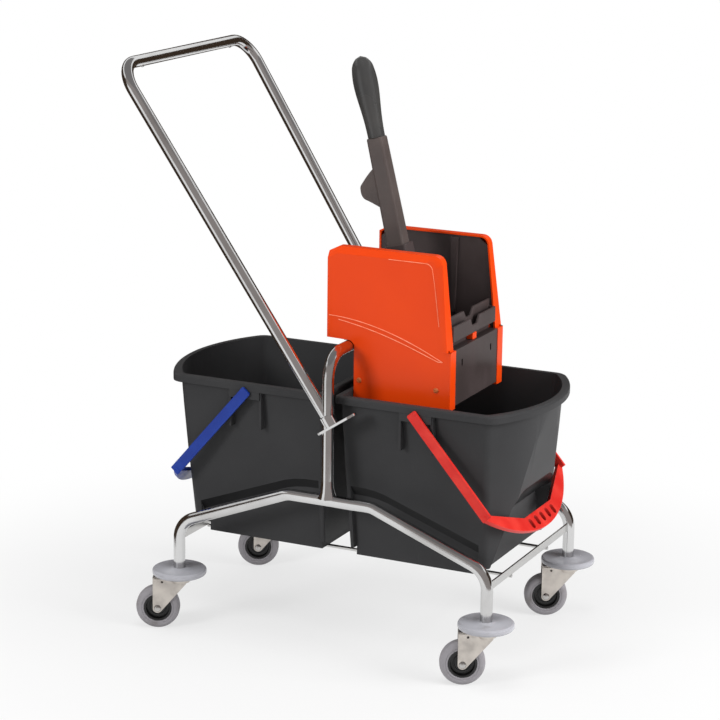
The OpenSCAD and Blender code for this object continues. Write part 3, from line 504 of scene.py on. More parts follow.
TRAIL = 0.037
TRAIL_TURN = Matrix.Rotation(math.radians(205), 4, "Z")
AXLE_AT = Vector((TRAIL, 0.0375))
CASTORS = {name: Matrix.Translation(corner) @ TRAIL_TURN for name, corner in CORNERS.items()}
AXLES = {
    name: castor @ Matrix.Translation((AXLE_AT.x, 0, AXLE_AT.y)) @ STAND_XZ
    for name, castor in CASTORS.items()
}
HEAD_Z = 0.0932
CROWN_T = 0.003
SIDE_TOP_Z = HEAD_Z - 0.0004
FORK_HALF = 0.016
FORK_T = 0.002
FORK_END_R = 0.008
FORK_FRONT = (-0.012, 0.0822)
FORK_HOLE = (0.029, 0.0852, 0.002)
SWIVEL = [
    (0.0058, 0.0932), (0.0215, 0.0932), (0.0230, 0.0922), (0.0228, 0.0905), (0.0182, 0.0828),
    (0.0172, 0.0822), (0.0160, 0.0826), (0.0205, 0.0902), (0.0058, 0.0902),
]
AXLE_END = [
    (0, -0.0190), (0.0030, -0.0188), (0.0050, -0.0180), (0.0060, -0.0165), (0.0060, -0.0160),
    (0.0040, -0.0160),
]

steel_pin, place = start_material("steel_pin")
wear = place.noise(180.0, 3.0)
dress(steel_pin, {
    "Base Color": wear.blend(colour(205, 203, 200), colour(176, 174, 172)),
    "Metallic": 1.0,
    "Roughness": 0.20 + wear * 0.2,
})


def both_ways(half):
    """A profile that is the same both ways, from the half that faces one way."""
    return half + [(radius, -height) for radius, height in reversed(half)]


lean = Vector(FORK_FRONT) - AXLE_AT
tangent = math.atan2(lean.y, lean.x) + math.acos(FORK_END_R / lean.length)
touch = AXLE_AT + FORK_END_R * Vector((math.cos(tangent), math.sin(tangent)))
fork_side = [
    FORK_FRONT, tuple(touch), (*AXLE_AT, 360 - math.degrees(tangent), 14),
    (AXLE_AT.x + FORK_END_R, SIDE_TOP_Z),
]

for name, castor in CASTORS.items():
    bm = bmesh.new()
    for low in (-FORK_HALF, FORK_HALF - FORK_T):
        outline = trace(bm, (FORK_FRONT[0], SIDE_TOP_Z), fork_side)
        hole = trace_hole(bm, *FORK_HOLE, steps=16)
        add_plate(bm, outline, [hole], low, low + FORK_T, castor @ STAND_XZ)
    add_box(bm, (0, -FORK_HALF, HEAD_Z - CROWN_T), (TRAIL + FORK_END_R, FORK_HALF, HEAD_Z), castor)
    turn_profile(bm, SWIVEL, castor)
    fork = make_piece(bm, f"fork_{name}", zinc_sheet, bevel=0.0006)
    stand_in(fork, f"castor_{name}", "zinc_sheet", f"castor_fork_{name}")

    bm = bmesh.new()
    turn_profile(bm, both_ways(AXLE_END), AXLES[name], steps=32)
    axle_pin = make_piece(bm, f"axle_{name}", steel_pin)
    stand_in(axle_pin, f"castor_{name}", "steel_pin", f"castor_axle_{name}")


# --- Wheels -------------------------------------------
# A black moulded hub with a boss, a web with a ring and a rim, turning on the axle.
# A grey rubber tyre with rounded shoulders and a fine line on each wall is moulded on it.

HUB_HALF = [
    (0.0042, 0.0137), (0.0086, 0.0137), (0.0090, 0.0130), (0.0094, 0.0062), (0.0130, 0.0056),
    (0.0136, 0.0066), (0.0150, 0.0066), (0.0156, 0.0054), (0.0192, 0.0052), (0.0203, 0.0106),
    (0.0210, 0.0110), (0.0240, 0.0110),
]
TYRE_HALF = [
    (0.02405, 0.0118), (0.0246, 0.0125), (0.0268, 0.0125), (0.0271, 0.0120), (0.0276, 0.0120),
    (0.0279, 0.0125), (0.0295, 0.0125), (0.0326, 0.0119), (0.0352, 0.0102), (0.0369, 0.0076),
    (0.0375, 0.0045), (0.0375, 0.0015),
]

hub_black, place = start_material("hub_black")
dust = place.noise(60.0, 4.0).span(0.5, 0.8)
dress(hub_black, {
    "Base Color": dust.blend(colour(14, 14, 15), colour(34, 33, 33)),
    "Roughness": 0.34 + dust * 0.3,
    "Normal": place.noise(1400.0, 1.0).bump(0.05, 0.0004),
})

tyre_grey, place = start_material("tyre_grey")
dust = place.noise(50.0, 5.0).span(0.45, 0.8)
dress(tyre_grey, {
    "Base Color": dust.blend(colour(140, 137, 141), colour(122, 118, 118)),
    "Roughness": 0.52 + dust * 0.22,
    "Normal": place.noise(1100.0, 3.0).bump(0.10, 0.0005),
})

for name, axle in AXLES.items():
    bm = bmesh.new()
    turn_profile(bm, both_ways(HUB_HALF), axle, steps=72)
    hub = make_piece(bm, f"hub_{name}", hub_black)
    stand_in(hub, f"wheel_{name}", "hub_black", f"wheel_hub_{name}")

    bm = bmesh.new()
    turn_profile(bm, both_ways(TYRE_HALF), axle, steps=96)
    tyre = make_piece(bm, f"tyre_{name}", tyre_grey)
    stand_in(tyre, f"wheel_{name}", "tyre_grey", f"wheel_tyre_{name}")


# --- Buckets ------------------------------------------
# Two dark grey mouldings, about 3 mm thick, with a bowed outer end and a rim rolled down to
# a skirt. A finger recess is pressed into the outer end, a step that clears the rail into
# each side and a foot into the floor; ribs and a pad under the rim carry the bail's pins.

BUCKET_WALL = 0.003
BUCKET_H = 0.286
BUCKET_HALF = 0.161
BUCKET_LEN = 0.335
RIM_H = 0.013
RIM_BULGE = 0.052
RIM_ROUND = (0.0145, 0.026)
RIM_ROLL = 0.0045
ROLL_STEPS = 4
# Half width, inner end, outer end and bulge: at the floor, and what the mouth adds
WALL_FOOT = (0.120, 0.018, 0.303, 0.042)
WALL_FLARE = (0.029, -0.006, 0.020, 0.010)
WALL_ROUND = (0.0025, 0.014)
WALL_OUT_Y = 0.1215
WALL_LEAN = 0.108
INNER_STEPS, OUTER_STEPS, BOW_STEPS = 8, 6, 28
FLOOR_Z = 0.0175
WAIST_Z = 0.160
CHEST_Z = 0.225
END_X = 0.22
SIDE_Y = 0.11
FOOT_X = (0.026, 0.239)
FOOT_Y = 0.112
FOOT_Z = 0.003
PANEL = (Vector((0.322, 0, 0.270)), Vector((0.9837, 0, -0.1797)))
FOLD_X, FOLD_Z = 0.260, 0.093
ARCH_Y, ARCH_Z, ARCH_R = 0.0484, 0.096, 0.045
ARCH_LEANS = (14.2, 33, 52, 71, 90)
STEP_X = (0.0215, 0.252)
STEP_DEPTH = 0.009
STEP_FALL = 0.016
STEP_Z = 0.1277
STEP_SLACK = 0.001
STEP_LEAN = math.radians(21.04)
STEP_BEND_R = 0.150
STEP_BEND_X = 0.068 - STEP_BEND_R * math.tan(STEP_LEAN / 2)
PIVOT_X = 0.149
PIVOT_Z = 0.268
ROOT_Y = 0.136
RIB_GAP = 0.0285
RIB_T = 0.005
RIB_Y = 0.158
RIB_Z = (0.208, BUCKET_H - 0.002)
PAD_Y = 0.1605
PAD_Z = (BUCKET_H - 0.027, BUCKET_H - 0.004)
SNAP = 2e-4
NEAR = 1e-4
BUCKET_Z = 0.1563
BUCKET_PLACE = {
    "left": Matrix.Translation((-0.0225, 0, BUCKET_Z)) @ Matrix.Rotation(math.pi, 4, "Z"),
    "right": Matrix.Translation((-0.0065, 0, BUCKET_Z)),
}

bucket_grey, place = start_material("bucket_grey")
mottle = place.noise(7.0, 4.0).span(0.3, 0.75)
scratch = place.stretched(1.0, 1.0, 0.12).noise(260.0, 3.0).span(0.62, 0.80)
# Faces that look down, such as the recess roof and the step's shelf, are painted near black:
# painted shade
normal = place.node("ShaderNodeTexCoord", out="Normal")
upward = place.node(
    "ShaderNodeVectorMath", {"operation": "DOT_PRODUCT"}, {0: normal, 1: (0, 0, 1)}, out="Value")
worn = (mottle * 0.6 + scratch * 0.4).blend(colour(52, 52, 53), colour(61, 61, 62))
dress(bucket_grey, {
    "Base Color": upward.span(-0.44, -0.26).blend(colour(18, 18, 19), worn),
    "Roughness": 0.42 + mottle * 0.08 + scratch * 0.12,
    "Specular IOR Level": 0.12,
    "Normal": place.noise(1500.0, 2.0).bump(0.10, 0.0004),
})


def bucket_loop(bm, half, x0, x1, bulge, r0, r1, z):
    """One level of a bucket: a flat inner end, a bowed outer end, rounded corners."""
    end_r = (half ** 2 + bulge ** 2) / (2 * bulge)
    centre = x1 - end_r
    corner = centre + math.sqrt((end_r - r1) ** 2 - (half - r1) ** 2)
    bow = math.degrees(math.atan2(half - r1, corner - centre))
    verts = trace(bm, (x0, r0 - half), [
        (x0 + r0, r0 - half, 90, INNER_STEPS), (corner, -half),
        (corner, r1 - half, 90 - bow, OUTER_STEPS), (centre, 0, 2 * bow, BOW_STEPS),
        (corner, half - r1, 90 - bow, OUTER_STEPS), (x0 + r0, half),
        (x0 + r0, half - r0, 90, INNER_STEPS)])
    bmesh.ops.translate(bm, verts=verts, vec=(0, 0, z))
    return loop_edges(bm, verts)


def rim_loop(bm, inset, z):
    return bucket_loop(
        bm, BUCKET_HALF - inset, inset, BUCKET_LEN - inset, RIM_BULGE,
        RIM_ROUND[0] - inset, RIM_ROUND[1] - inset, z)


def wall_loop(bm, z):
    """The wall's inner face at one level, between the floor and the mouth."""
    up = (z - FLOOR_Z) / (BUCKET_H - FLOOR_Z)
    sizes = [foot + flare * up for foot, flare in zip(WALL_FOOT, WALL_FLARE)]
    return bucket_loop(bm, *sizes, *WALL_ROUND, z)


def middle(face):
    return face.calc_center_median()


def with_parts(faces):
    return faces + list({item for face in faces for item in [*face.edges, *face.verts]})


def press_in(bm, faces, planes, move):
    """Cuts faces of a sheet along planes, and moves what lies behind all of them by a rule."""
    inside = faces
    for at, facing in planes:
        cut = bmesh.ops.bisect_plane(
            bm, geom=with_parts(inside), dist=SNAP, plane_co=at, plane_no=facing)["geom"]
        inside = [
            item for item in cut if isinstance(item, bmesh.types.BMFace)
            and (middle(item) - Vector(at)).dot(Vector(facing)) < 0]
    moved = bmesh.ops.extrude_face_region(bm, geom=inside)["geom"]
    bmesh.ops.delete(bm, geom=inside, context="FACES")
    for vert in only_verts(moved):
        move(vert.co)
    bmesh.ops.remove_doubles(bm, verts=bm.verts, dist=SNAP)
    bmesh.ops.dissolve_degenerate(bm, edges=bm.edges, dist=1e-5)


def level(item, z):
    return all(abs(vert.co.z - z) < NEAR for vert in item.verts)


def level_faces(bm, z):
    return [face for face in bm.faces if level(face, z)]


def open_edges(bm, z):
    return [edge for edge in bm.edges if len(edge.link_faces) == 1 and level(edge, z)]


def recess_in(co):
    """The recess slopes in from its arch to a fold, and is upright below it."""
    co.z = min(co.z, FOLD_Z)
    co.x = FOLD_X


def step_edge(x):
    """Height of the step's upper edge: level, round a bend, then down along the rail."""
    turn = min(max(x - STEP_BEND_X, 0) / STEP_BEND_R, math.sin(STEP_LEAN))
    drop = STEP_BEND_R * (1 - math.sqrt(1 - turn ** 2))
    past = max(x - STEP_BEND_X - STEP_BEND_R * math.sin(STEP_LEAN), 0)
    return STEP_Z - drop - past * math.tan(STEP_LEAN)


def step_in(co):
    """The step falls in a slope from the wall above it to the face that clears the rail."""
    if co.z > step_edge(co.x) - STEP_SLACK:
        co.z -= STEP_FALL
    co.y -= math.copysign(STEP_DEPTH, co.y)


def add_wall(piece, thickness, even):
    """Gives a sheet its thickness, inwards."""
    wall = piece.modifiers.new("wall", "SOLIDIFY")
    wall.thickness = thickness
    wall.offset = -1.0
    wall.use_even_offset = even


recess_planes = [((FOLD_X, 0, 0), (-1, 0, 0))]
for sign in (-1, 1):
    for lean in map(math.radians, ARCH_LEANS):
        y, z = sign * math.cos(lean), math.sin(lean)
        recess_planes.append(((0, sign * ARCH_Y + ARCH_R * y, ARCH_Z + ARCH_R * z), (0, y, z)))
step_planes = [((STEP_X[0], 0, 0), (-1, 0, 0)), ((STEP_X[1], 0, 0), (1, 0, 0))]
for part in (0, 0.33, 0.67, 1):
    lean = part * STEP_LEAN
    x = STEP_BEND_X + STEP_BEND_R * math.sin(lean)
    step_planes.append(((x, 0, step_edge(x)), (math.sin(lean), 0, math.cos(lean))))
foot_planes = [
    *[((x, 0, 0), (1, 0, 0)) for x in FOOT_X],
    *[((0, y, 0), (0, 1, 0)) for y in (-FOOT_Y, FOOT_Y)],
]

for end, where in BUCKET_PLACE.items():
    bm = bmesh.new()
    waist, floor = wall_loop(bm, WAIST_Z), wall_loop(bm, FLOOR_Z)
    bmesh.ops.bridge_loops(bm, edges=waist + floor)
    mouth, chest = wall_loop(bm, BUCKET_H), wall_loop(bm, CHEST_Z)
    bmesh.ops.bridge_loops(bm, edges=mouth + chest)
    bmesh.ops.bridge_loops(bm, edges=chest + waist)

    # The outer end is flattened by a leaning panel below the rim
    bow = [face for face in bm.faces if middle(face).x > END_X]
    bmesh.ops.bisect_plane(
        bm, geom=with_parts(bow), dist=SNAP, plane_co=PANEL[0], plane_no=PANEL[1])
    for vert in bm.verts:
        beyond = (vert.co - PANEL[0]).dot(PANEL[1])
        if beyond > 0:
            vert.co.x -= beyond / PANEL[1].x
    bmesh.ops.dissolve_degenerate(bm, edges=bm.edges, dist=NEAR)

    low_end = [face for face in bm.faces if middle(face).x > END_X and middle(face).z < WAIST_Z]
    press_in(bm, low_end, recess_planes, recess_in)
    bmesh.ops.delete(bm, geom=level_faces(bm, FLOOR_Z), context="FACES")

    for sign in (-1, 1):
        wall = [
            face for face in bm.faces
            if middle(face).z < WAIST_Z and sign * middle(face).y > SIDE_Y
            and abs(face.normal.y) > 0.7]
        press_in(bm, wall, step_planes, step_in)
    bmesh.ops.delete(bm, geom=level_faces(bm, FLOOR_Z), context="FACES")

    bmesh.ops.edgeloop_fill(bm, edges=open_edges(bm, FLOOR_Z))
    for at, facing in foot_planes:
        bmesh.ops.bisect_plane(
            bm, geom=with_parts(level_faces(bm, FLOOR_Z)), dist=TINY, plane_co=at, plane_no=facing)
    well = [
        face for face in level_faces(bm, FLOOR_Z)
        if abs(middle(face).y) < FOOT_Y and FOOT_X[0] < middle(face).x < FOOT_X[1]]
    sunk = bmesh.ops.extrude_face_region(bm, geom=well)["geom"]
    bmesh.ops.delete(bm, geom=well, context="FACES")
    bmesh.ops.translate(bm, verts=only_verts(sunk), vec=(0, 0, FOOT_Z - FLOOR_Z))

    inner = open_edges(bm, BUCKET_H)
    for i in range(ROLL_STEPS + 1):
        roll = math.radians(90 * i / ROLL_STEPS)
        outer = rim_loop(
            bm, RIM_ROLL * (1 - math.sin(roll)), BUCKET_H - RIM_ROLL * (1 - math.cos(roll)))
        bmesh.ops.bridge_loops(bm, edges=inner + outer)
        inner = outer
    bmesh.ops.bridge_loops(bm, edges=inner + rim_loop(bm, 0, BUCKET_H - RIM_H))
    bmesh.ops.remove_doubles(bm, verts=bm.verts, dist=2e-5)
    bmesh.ops.recalc_face_normals(bm, faces=bm.faces)
    lowest = min(bm.faces, key=lambda face: middle(face).z)
    if lowest.normal.z < 0:
        bmesh.ops.reverse_faces(bm, faces=bm.faces)
    bmesh.ops.transform(bm, matrix=where, verts=bm.verts)
    shell = make_object(bm, f"bucket_{end}_shell", bucket_grey)
    shell.data.set_sharp_from_angle(angle=math.radians(15))
    add_wall(shell, BUCKET_WALL, even=False)
    ease_edges(shell, width=0.0012, segments=2, angle=math.radians(75))
    stand_in(shell, f"bucket_{end}", "bucket_grey", f"bucket_{end}")

    # The roots of ribs and pads follow the leaning wall
    bm = bmesh.new()
    for sign in (-1, 1):
        for x in (PIVOT_X - RIB_GAP, PIVOT_X + RIB_GAP):
            add_box(bm, (x - RIB_T / 2, sign * ROOT_Y, RIB_Z[0]),
                    (x + RIB_T / 2, sign * RIB_Y, RIB_Z[1]))
        add_box(bm, (PIVOT_X - RIB_GAP, sign * ROOT_Y, PAD_Z[0]),
                (PIVOT_X + RIB_GAP, sign * PAD_Y, PAD_Z[1]))
    for vert in bm.verts:
        if abs(vert.co.y) < (ROOT_Y + RIB_Y) / 2:
            root = WALL_OUT_Y + WALL_LEAN * (vert.co.z - FLOOR_Z)
            vert.co.y = math.copysign(root, vert.co.y)
    bmesh.ops.transform(bm, matrix=where, verts=bm.verts)
    ribs = make_piece(bm, f"bucket_{end}_ribs", bucket_grey, bevel=0.0008)
    stand_in(ribs, f"bucket_{end}", "bucket_grey", f"bucket_{end}")


# --- Bails --------------------------------------------
# A moulded handle for each bucket, blue on the left and red on the right: two channelled arms
# with pins that snap into the pads under the rim, and a bowed hand hold pierced by slots.

BAIL_IN = 0.1615
BAIL_OUT = 0.1665
ARM_LEN = 0.202
ARM_HALF = 0.009
CHANNEL_EDGE = 0.0032
CHANNEL_DEPTH = 0.0008
HEEL = 0.010
HEEL_R = 0.003
PIN_R = 0.004
PIN_LEN = 0.0115
PIN_Y = BAIL_IN - 0.0035
BOW = 0.064
BOW_R = (BAIL_OUT ** 2 + BOW ** 2) / (2 * BOW)
BOW_X = ARM_LEN + BOW - BOW_R
BOW_TURN = 2 * math.degrees(math.asin(BAIL_OUT / BOW_R))
HOLD_IN = 0.234
HOLD_HALF = 0.058
HOLD_Z = (-0.0075, 0.0010)
SLOT_LEN = 0.018
SLOT_W = 0.0105
SLOT_X = HOLD_IN + 0.0145
SLOT_PITCH = 0.0232
DROOP = Matrix.Rotation(math.radians(49), 4, "Y")

for end, slot, tone, light in (
        ("left", "bail_blue", colour(20, 48, 132), colour(30, 62, 152)),
        ("right", "bail_red", colour(198, 38, 32), colour(214, 58, 48))):
    looks, place = start_material(slot)
    flow = place.noise(24.0, 3.0).span(0.35, 0.8)
    dress(looks, {
        "Base Color": flow.blend(tone, light),
        "Roughness": 0.30 + flow * 0.12,
        "Specular IOR Level": 0.3,
        "Normal": place.noise(700.0, 2.0).bump(0.05, 0.0005),
    })
    bm = bmesh.new()
    corner = ARM_LEN - ARM_HALF
    outline = trace(bm, (BOW_X + math.sqrt(BOW_R ** 2 - BAIL_OUT ** 2), -BAIL_OUT), [
        (BOW_X, 0, BOW_TURN, 32), (corner, BAIL_OUT), (corner, BAIL_IN), (HOLD_IN, HOLD_HALF),
        (HOLD_IN, -HOLD_HALF), (corner, -BAIL_IN), (corner, -BAIL_OUT)])
    slots = [
        trace_slot(bm, SLOT_X, i * SLOT_PITCH, (SLOT_LEN - SLOT_W) / 2, SLOT_W / 2, steps=8)
        for i in range(-2, 3)]
    add_plate(bm, outline, slots, *HOLD_Z, Matrix())
    for sign in (-1, 1):
        strap = bmesh.new()
        add_box(strap, (-HEEL, sign * BAIL_IN, -ARM_HALF), (ARM_LEN, sign * BAIL_OUT, ARM_HALF))
        heel = [
            edge for edge in strap.edges
            if all(vert.co.x < 0 for vert in edge.verts)
            and abs(edge.verts[0].co.z - edge.verts[1].co.z) < TINY]
        bmesh.ops.bevel(
            strap, geom=heel, offset=HEEL_R, offset_type="OFFSET", affect="EDGES", segments=4,
            profile=0.5, material=-1)
        outer = [face for face in strap.faces if sign * face.normal.y > 0.9]
        bmesh.ops.inset_region(
            strap, faces=outer, thickness=CHANNEL_EDGE, depth=-CHANNEL_DEPTH, use_even_offset=True)
        channel = bpy.data.meshes.new("strap")
        strap.to_mesh(channel)
        strap.free()
        bm.from_mesh(channel)
        bpy.data.meshes.remove(channel)
        pin = Matrix.Translation((0, sign * PIN_Y, 0)) @ STAND_XZ
        add_rod(bm, PIN_R, PIN_LEN, pin, sides=32)
    pivot = BUCKET_PLACE[end] @ Matrix.Translation((PIVOT_X, 0, PIVOT_Z))
    bmesh.ops.transform(bm, matrix=pivot @ DROOP, verts=bm.verts)
    bail = make_piece(bm, f"bail_{end}_moulding", looks, bevel=0.0011)
    stand_in(bail, f"bail_{end}", slot, f"bail_{end}")


# --- Press body ---------------------------------------
# The dark moulding that holds the press together: two side walls, a slotted floor, a box
# front with keyholes and a saddle that hooks over the hoop. Its edges are eased.

press_dark, place = start_material("press_dark")
mottle = place.noise(12.0, 4.0).span(0.3, 0.75)
wipe = place.stretched(1.0, 1.0, 0.2).noise(90.0, 3.0).span(0.55, 0.8)
dress(press_dark, {
    "Base Color": (mottle * 0.6 + wipe * 0.4).blend(colour(58, 50, 49), colour(76, 66, 66)),
    "Roughness": 0.40 + mottle * 0.1 + wipe * 0.1,
    "Specular IOR Level": 0.35,
    "Normal": place.noise(1300.0, 2.0).bump(0.10, 0.0004),
})


def softened(node, name, looks, bevel):
    """A copy of a CAD node's mesh, its triangles joined and its edges eased."""
    bm = bmesh.new()
    bm.from_mesh(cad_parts[node].data)
    bmesh.ops.remove_doubles(bm, verts=bm.verts, dist=TINY)
    bmesh.ops.dissolve_limit(bm, angle_limit=math.radians(1), verts=bm.verts, edges=bm.edges)
    return make_piece(bm, name, looks, bevel=bevel)


body = softened("press_body", "press_body_moulding", press_dark, 0.0008)
stand_in(body, "press", "press_dark", "press_body")


# --- Press covers -------------------------------------
# Glossy orange-red shells screwed on both sides of the body. Top and front are bevelled, a
# notch clears the hoop, and a low wave is moulded on the outer face.

COVER_Y = (0.088, 0.103, 0.110)
COVER_WALL = 0.003
RUN_OUT = (0.180, 0.010)
RUN_OUT_UP = 0.0105
COVER = [
    (0.0109, -0.088), (0.185, -0.088), (0.185, 0.010), RUN_OUT, (0.16484, 0.15223),
    (0.149, 0.150, 82, 8), (-0.021, 0.166), (-0.039, 0.157), (-0.039, 0.012), (0, 0.0109),
    (0, 0, -90, 8),
]
COVER_BEVEL = 0.011
FRONT_X = (0.140, 0.183)
FRONT_Z = 0.009
TOP_Z = 0.151
WAVE_LEN = 0.206
WAVE_BACK = 0.035
WAVE_TOP = 0.0503
WAVE_DROP = 0.0569
WAVE_POWER = 1.82
WAVE_GAP = 0.0082
GAP_POWER = 0.35
WAVE_STEPS = 24
BEND_X, BEND_Z, BEND_R = 0.138, 0.1418, 0.0125
BEAD_T = (0.0005, 0.0009)
BEAD_Y = (COVER_Y[2] - 0.0005, COVER_Y[2] + 0.0007)
PRESS_AT = Matrix.Translation((HOOP_X, 0, HOOP_Z))
PRESS_SIDE = {side: PRESS_AT @ Matrix.Diagonal((1, -sign, 1, 1)) for side, sign in SIDES.items()}

press_red, place = start_material("press_red")
flow = place.noise(6.0, 3.0).span(0.3, 0.8)
dress(press_red, {
    "Base Color": flow.blend(colour(217, 62, 8), colour(224, 68, 12)),
    "Roughness": 0.29 + flow * 0.08,
    "Specular IOR Level": 0.25,
    "Normal": place.noise(420.0, 2.0).bump(0.04, 0.0005),
})

# Pale orange for the beads: a painted highlight, lighter in random patches
press_bead_painted_highlight, place = start_material("press_bead_painted_highlight")
highlight_tone = place.noise(90.0, 3.0).span(0.3, 0.75)
dress(press_bead_painted_highlight, {
    "Base Color": highlight_tone.blend(colour(240, 132, 92), colour(246, 168, 136)),
    "Roughness": 0.30 + highlight_tone * 0.15,
})

# The wave is two fine beads that part and meet again; a third follows the bevel. Their pale orange
# is a painted highlight along these edges
steps = [i / WAVE_STEPS for i in range(WAVE_STEPS + 1)]
upper = [(WAVE_LEN * t - WAVE_BACK, WAVE_TOP - WAVE_DROP * t ** WAVE_POWER) for t in steps]
lower = [
    (x, z - WAVE_GAP * math.sin(math.pi * t) ** GAP_POWER)
    for t, (x, z) in zip(steps, upper)][2:]
bevel_line = [
    (0.072, 0.1546), (0.138, 0.1543),
    *[(BEND_X + BEND_R * math.sin(a), BEND_Z + BEND_R * math.cos(a))
      for a in map(math.radians, range(15, 90, 15))],
    (0.1545, 0.120), (0.1635, 0.052),
]

for side, stand in PRESS_SIDE.items():
    bm = bmesh.new()
    outline = trace(bm, COVER[0], COVER[1:])
    face = bm.faces.new(outline)
    raised = bmesh.ops.extrude_face_region(bm, geom=[face])["geom"]
    bmesh.ops.delete(bm, geom=[face], context="FACES_ONLY")
    for vert in only_verts(raised):
        front = FRONT_X[0] < vert.co.x < FRONT_X[1] and vert.co.y > FRONT_Z
        top = vert.co.y > TOP_Z
        vert.co.x -= COVER_BEVEL if front else 0
        vert.co.y -= COVER_BEVEL if top else 0
        vert.co.z += COVER_Y[2] - COVER_Y[1]
    back = [edge for edge in bm.edges if edge.is_boundary]
    drawn = bmesh.ops.extrude_edge_only(bm, edges=back)["geom"]
    bmesh.ops.translate(bm, verts=only_verts(drawn), vec=(0, 0, COVER_Y[0] - COVER_Y[1]))
    outline[COVER.index(RUN_OUT)].co.z += RUN_OUT_UP
    bmesh.ops.transform(
        bm, matrix=stand @ Matrix.Translation((0, -COVER_Y[1], 0)) @ STAND_XZ, verts=bm.verts)
    bmesh.ops.recalc_face_normals(bm, faces=bm.faces)
    cover = make_object(bm, f"cover_{side}_shell", press_red)
    add_wall(cover, COVER_WALL, even=True)
    ease_edges(cover, width=0.0012, segments=3, angle=BEVEL_FROM)
    stand_in(cover, "press", "press_red", f"press_cover_{side}")

    bm = bmesh.new()
    for points in (upper, lower, bevel_line):
        below = [(x - BEAD_T[0], z - BEAD_T[1]) for x, z in reversed(points)]
        bead = trace(bm, points[0], points[1:] + below)
        add_plate(bm, bead, [], *BEAD_Y, stand @ STAND_XZ)
    line = make_piece(bm, f"cover_{side}_beads", press_bead_painted_highlight)
    stand_in(line, "press", "press_red", f"press_cover_{side}")


# --- Press screws, shaft, front jaw and buffer --------
# Four pan-head screws hold the covers. A steel shaft across the body carries the lever, the
# fixed front jaw is a plate behind a stepped bar, and a red buffer sits under the bar.

SCREW = [
    (0, 0.0905), (0.0020, 0.0905), (0.0020, 0.1100), (0.0046, 0.1100), (0.0046, 0.1108),
    (0.0038, 0.1118), (0.0024, 0.1122), (0.0018, 0.1122), (0.0015, 0.1110), (0, 0.1108),
]
SCREW_X = (0.021, 0.160)
SCREW_Z = -0.055
SHAFT_R = 0.005
SHAFT_LEN = 0.188
LEVER_AT = (0.086, 0, 0.455)
BUFFER = ((0.164, -0.008, 0.525), (0.176, 0.008, 0.5367))

# The heads are orange like the covers: partly a metal tint of their own, partly a painted
# reflection of the orange covers round them
screw_orange, place = start_material("screw_tint_and_painted_reflection")
wear = place.noise(400.0, 3.0)
dress(screw_orange, {
    "Base Color": wear.blend(colour(214, 92, 40), colour(236, 150, 96)),
    "Metallic": 0.6,
    "Roughness": 0.26 + wear * 0.2,
})

bm = bmesh.new()
for stand in PRESS_SIDE.values():
    for x in SCREW_X:
        turn_profile(bm, SCREW, stand @ Matrix.Translation((x, 0, SCREW_Z)) @ STAND_XZ, steps=32)
screws = make_piece(bm, "press_screw_heads", screw_orange)
stand_in(screws, "press", "steel_pin", "press_screws")

bm = bmesh.new()
add_rod(bm, SHAFT_R, SHAFT_LEN, Matrix.Translation(LEVER_AT) @ STAND_XZ, sides=40)
shaft = make_piece(bm, "pivot_shaft_rod", steel_pin, bevel=0.0008)
stand_in(shaft, "press", "steel_pin", "pivot_shaft")

jaw = softened("front_jaw", "front_jaw_moulding", press_dark, 0.0009)
stand_in(jaw, "press", "press_dark", "front_jaw")

bm = bmesh.new()
add_box(bm, *BUFFER)
buffer = make_piece(bm, "jaw_buffer", press_red, bevel=0.0014, segments=3)
stand_in(buffer, "press", "press_red", "jaw_stop")


# --- Lever --------------------------------------------
# A ribbed rear jaw with a socket swings on the shaft. A brown-grey moulded arm with a hook on
# its back is glued in the socket, and a dark hand grip is pushed on the arm's tang.

LEVER = Matrix.Translation(LEVER_AT) @ Matrix.Rotation(math.radians(-13.6), 4, "Y")
ARM_END = 0.404
ARM = (
    (0.138, 0.016, 0.014), (0.222, 0.016, 0.014), (0.402, 0.0146, 0.0128),
    (ARM_END, 0.0136, 0.0118),
)
ARM_ROUND = 0.005
HOOK = [
    (-0.006, 0.284), (-0.0165, 0.289), (-0.030, 0.299), (-0.0425, 0.307), (-0.0455, 0.316),
    (-0.0445, 0.328), (-0.030, 0.342), (-0.0165, 0.353), (-0.006, 0.356),
]
HOOK_HALF = 0.009
HOOK_ROUND = 0.0035
TANG = [(0, ARM_END), (0.009, ARM_END), (0.009, 0.456), (0, 0.456)]
GRIP_R = 0.0205
GRIP_LEN = 0.136
GRIP_FOOT_R = 0.0138
GRIP_LIP = 0.0008
GRIP_NECK = 0.70
SWELL = 0.30
SWELL_SHIFT = 1.7
SWELL_POWER = 1.2
GRIP_STEPS = 40
DOME_FROM = 0.86

lever_grey, place = start_material("lever_grey")
mottle = place.noise(14.0, 4.0).span(0.3, 0.75)
dress(lever_grey, {
    "Base Color": mottle.blend(colour(70, 62, 60), colour(84, 75, 72)),
    "Roughness": 0.40 + mottle * 0.1,
    "Normal": place.noise(1200.0, 2.0).bump(0.10, 0.0004),
})

grip_dark, place = start_material("grip_dark")
mottle = place.noise(18.0, 3.0).span(0.3, 0.75)
dress(grip_dark, {
    "Base Color": mottle.blend(colour(54, 54, 54), colour(63, 62, 61)),
    "Roughness": 0.24 + mottle * 0.08,
    "Normal": place.noise(900.0, 2.0).bump(0.06, 0.0004),
})

rear = softened("rear_jaw", "rear_jaw_moulding", press_dark, 0.0008)
stand_in(rear, "lever", "press_dark", "rear_jaw")

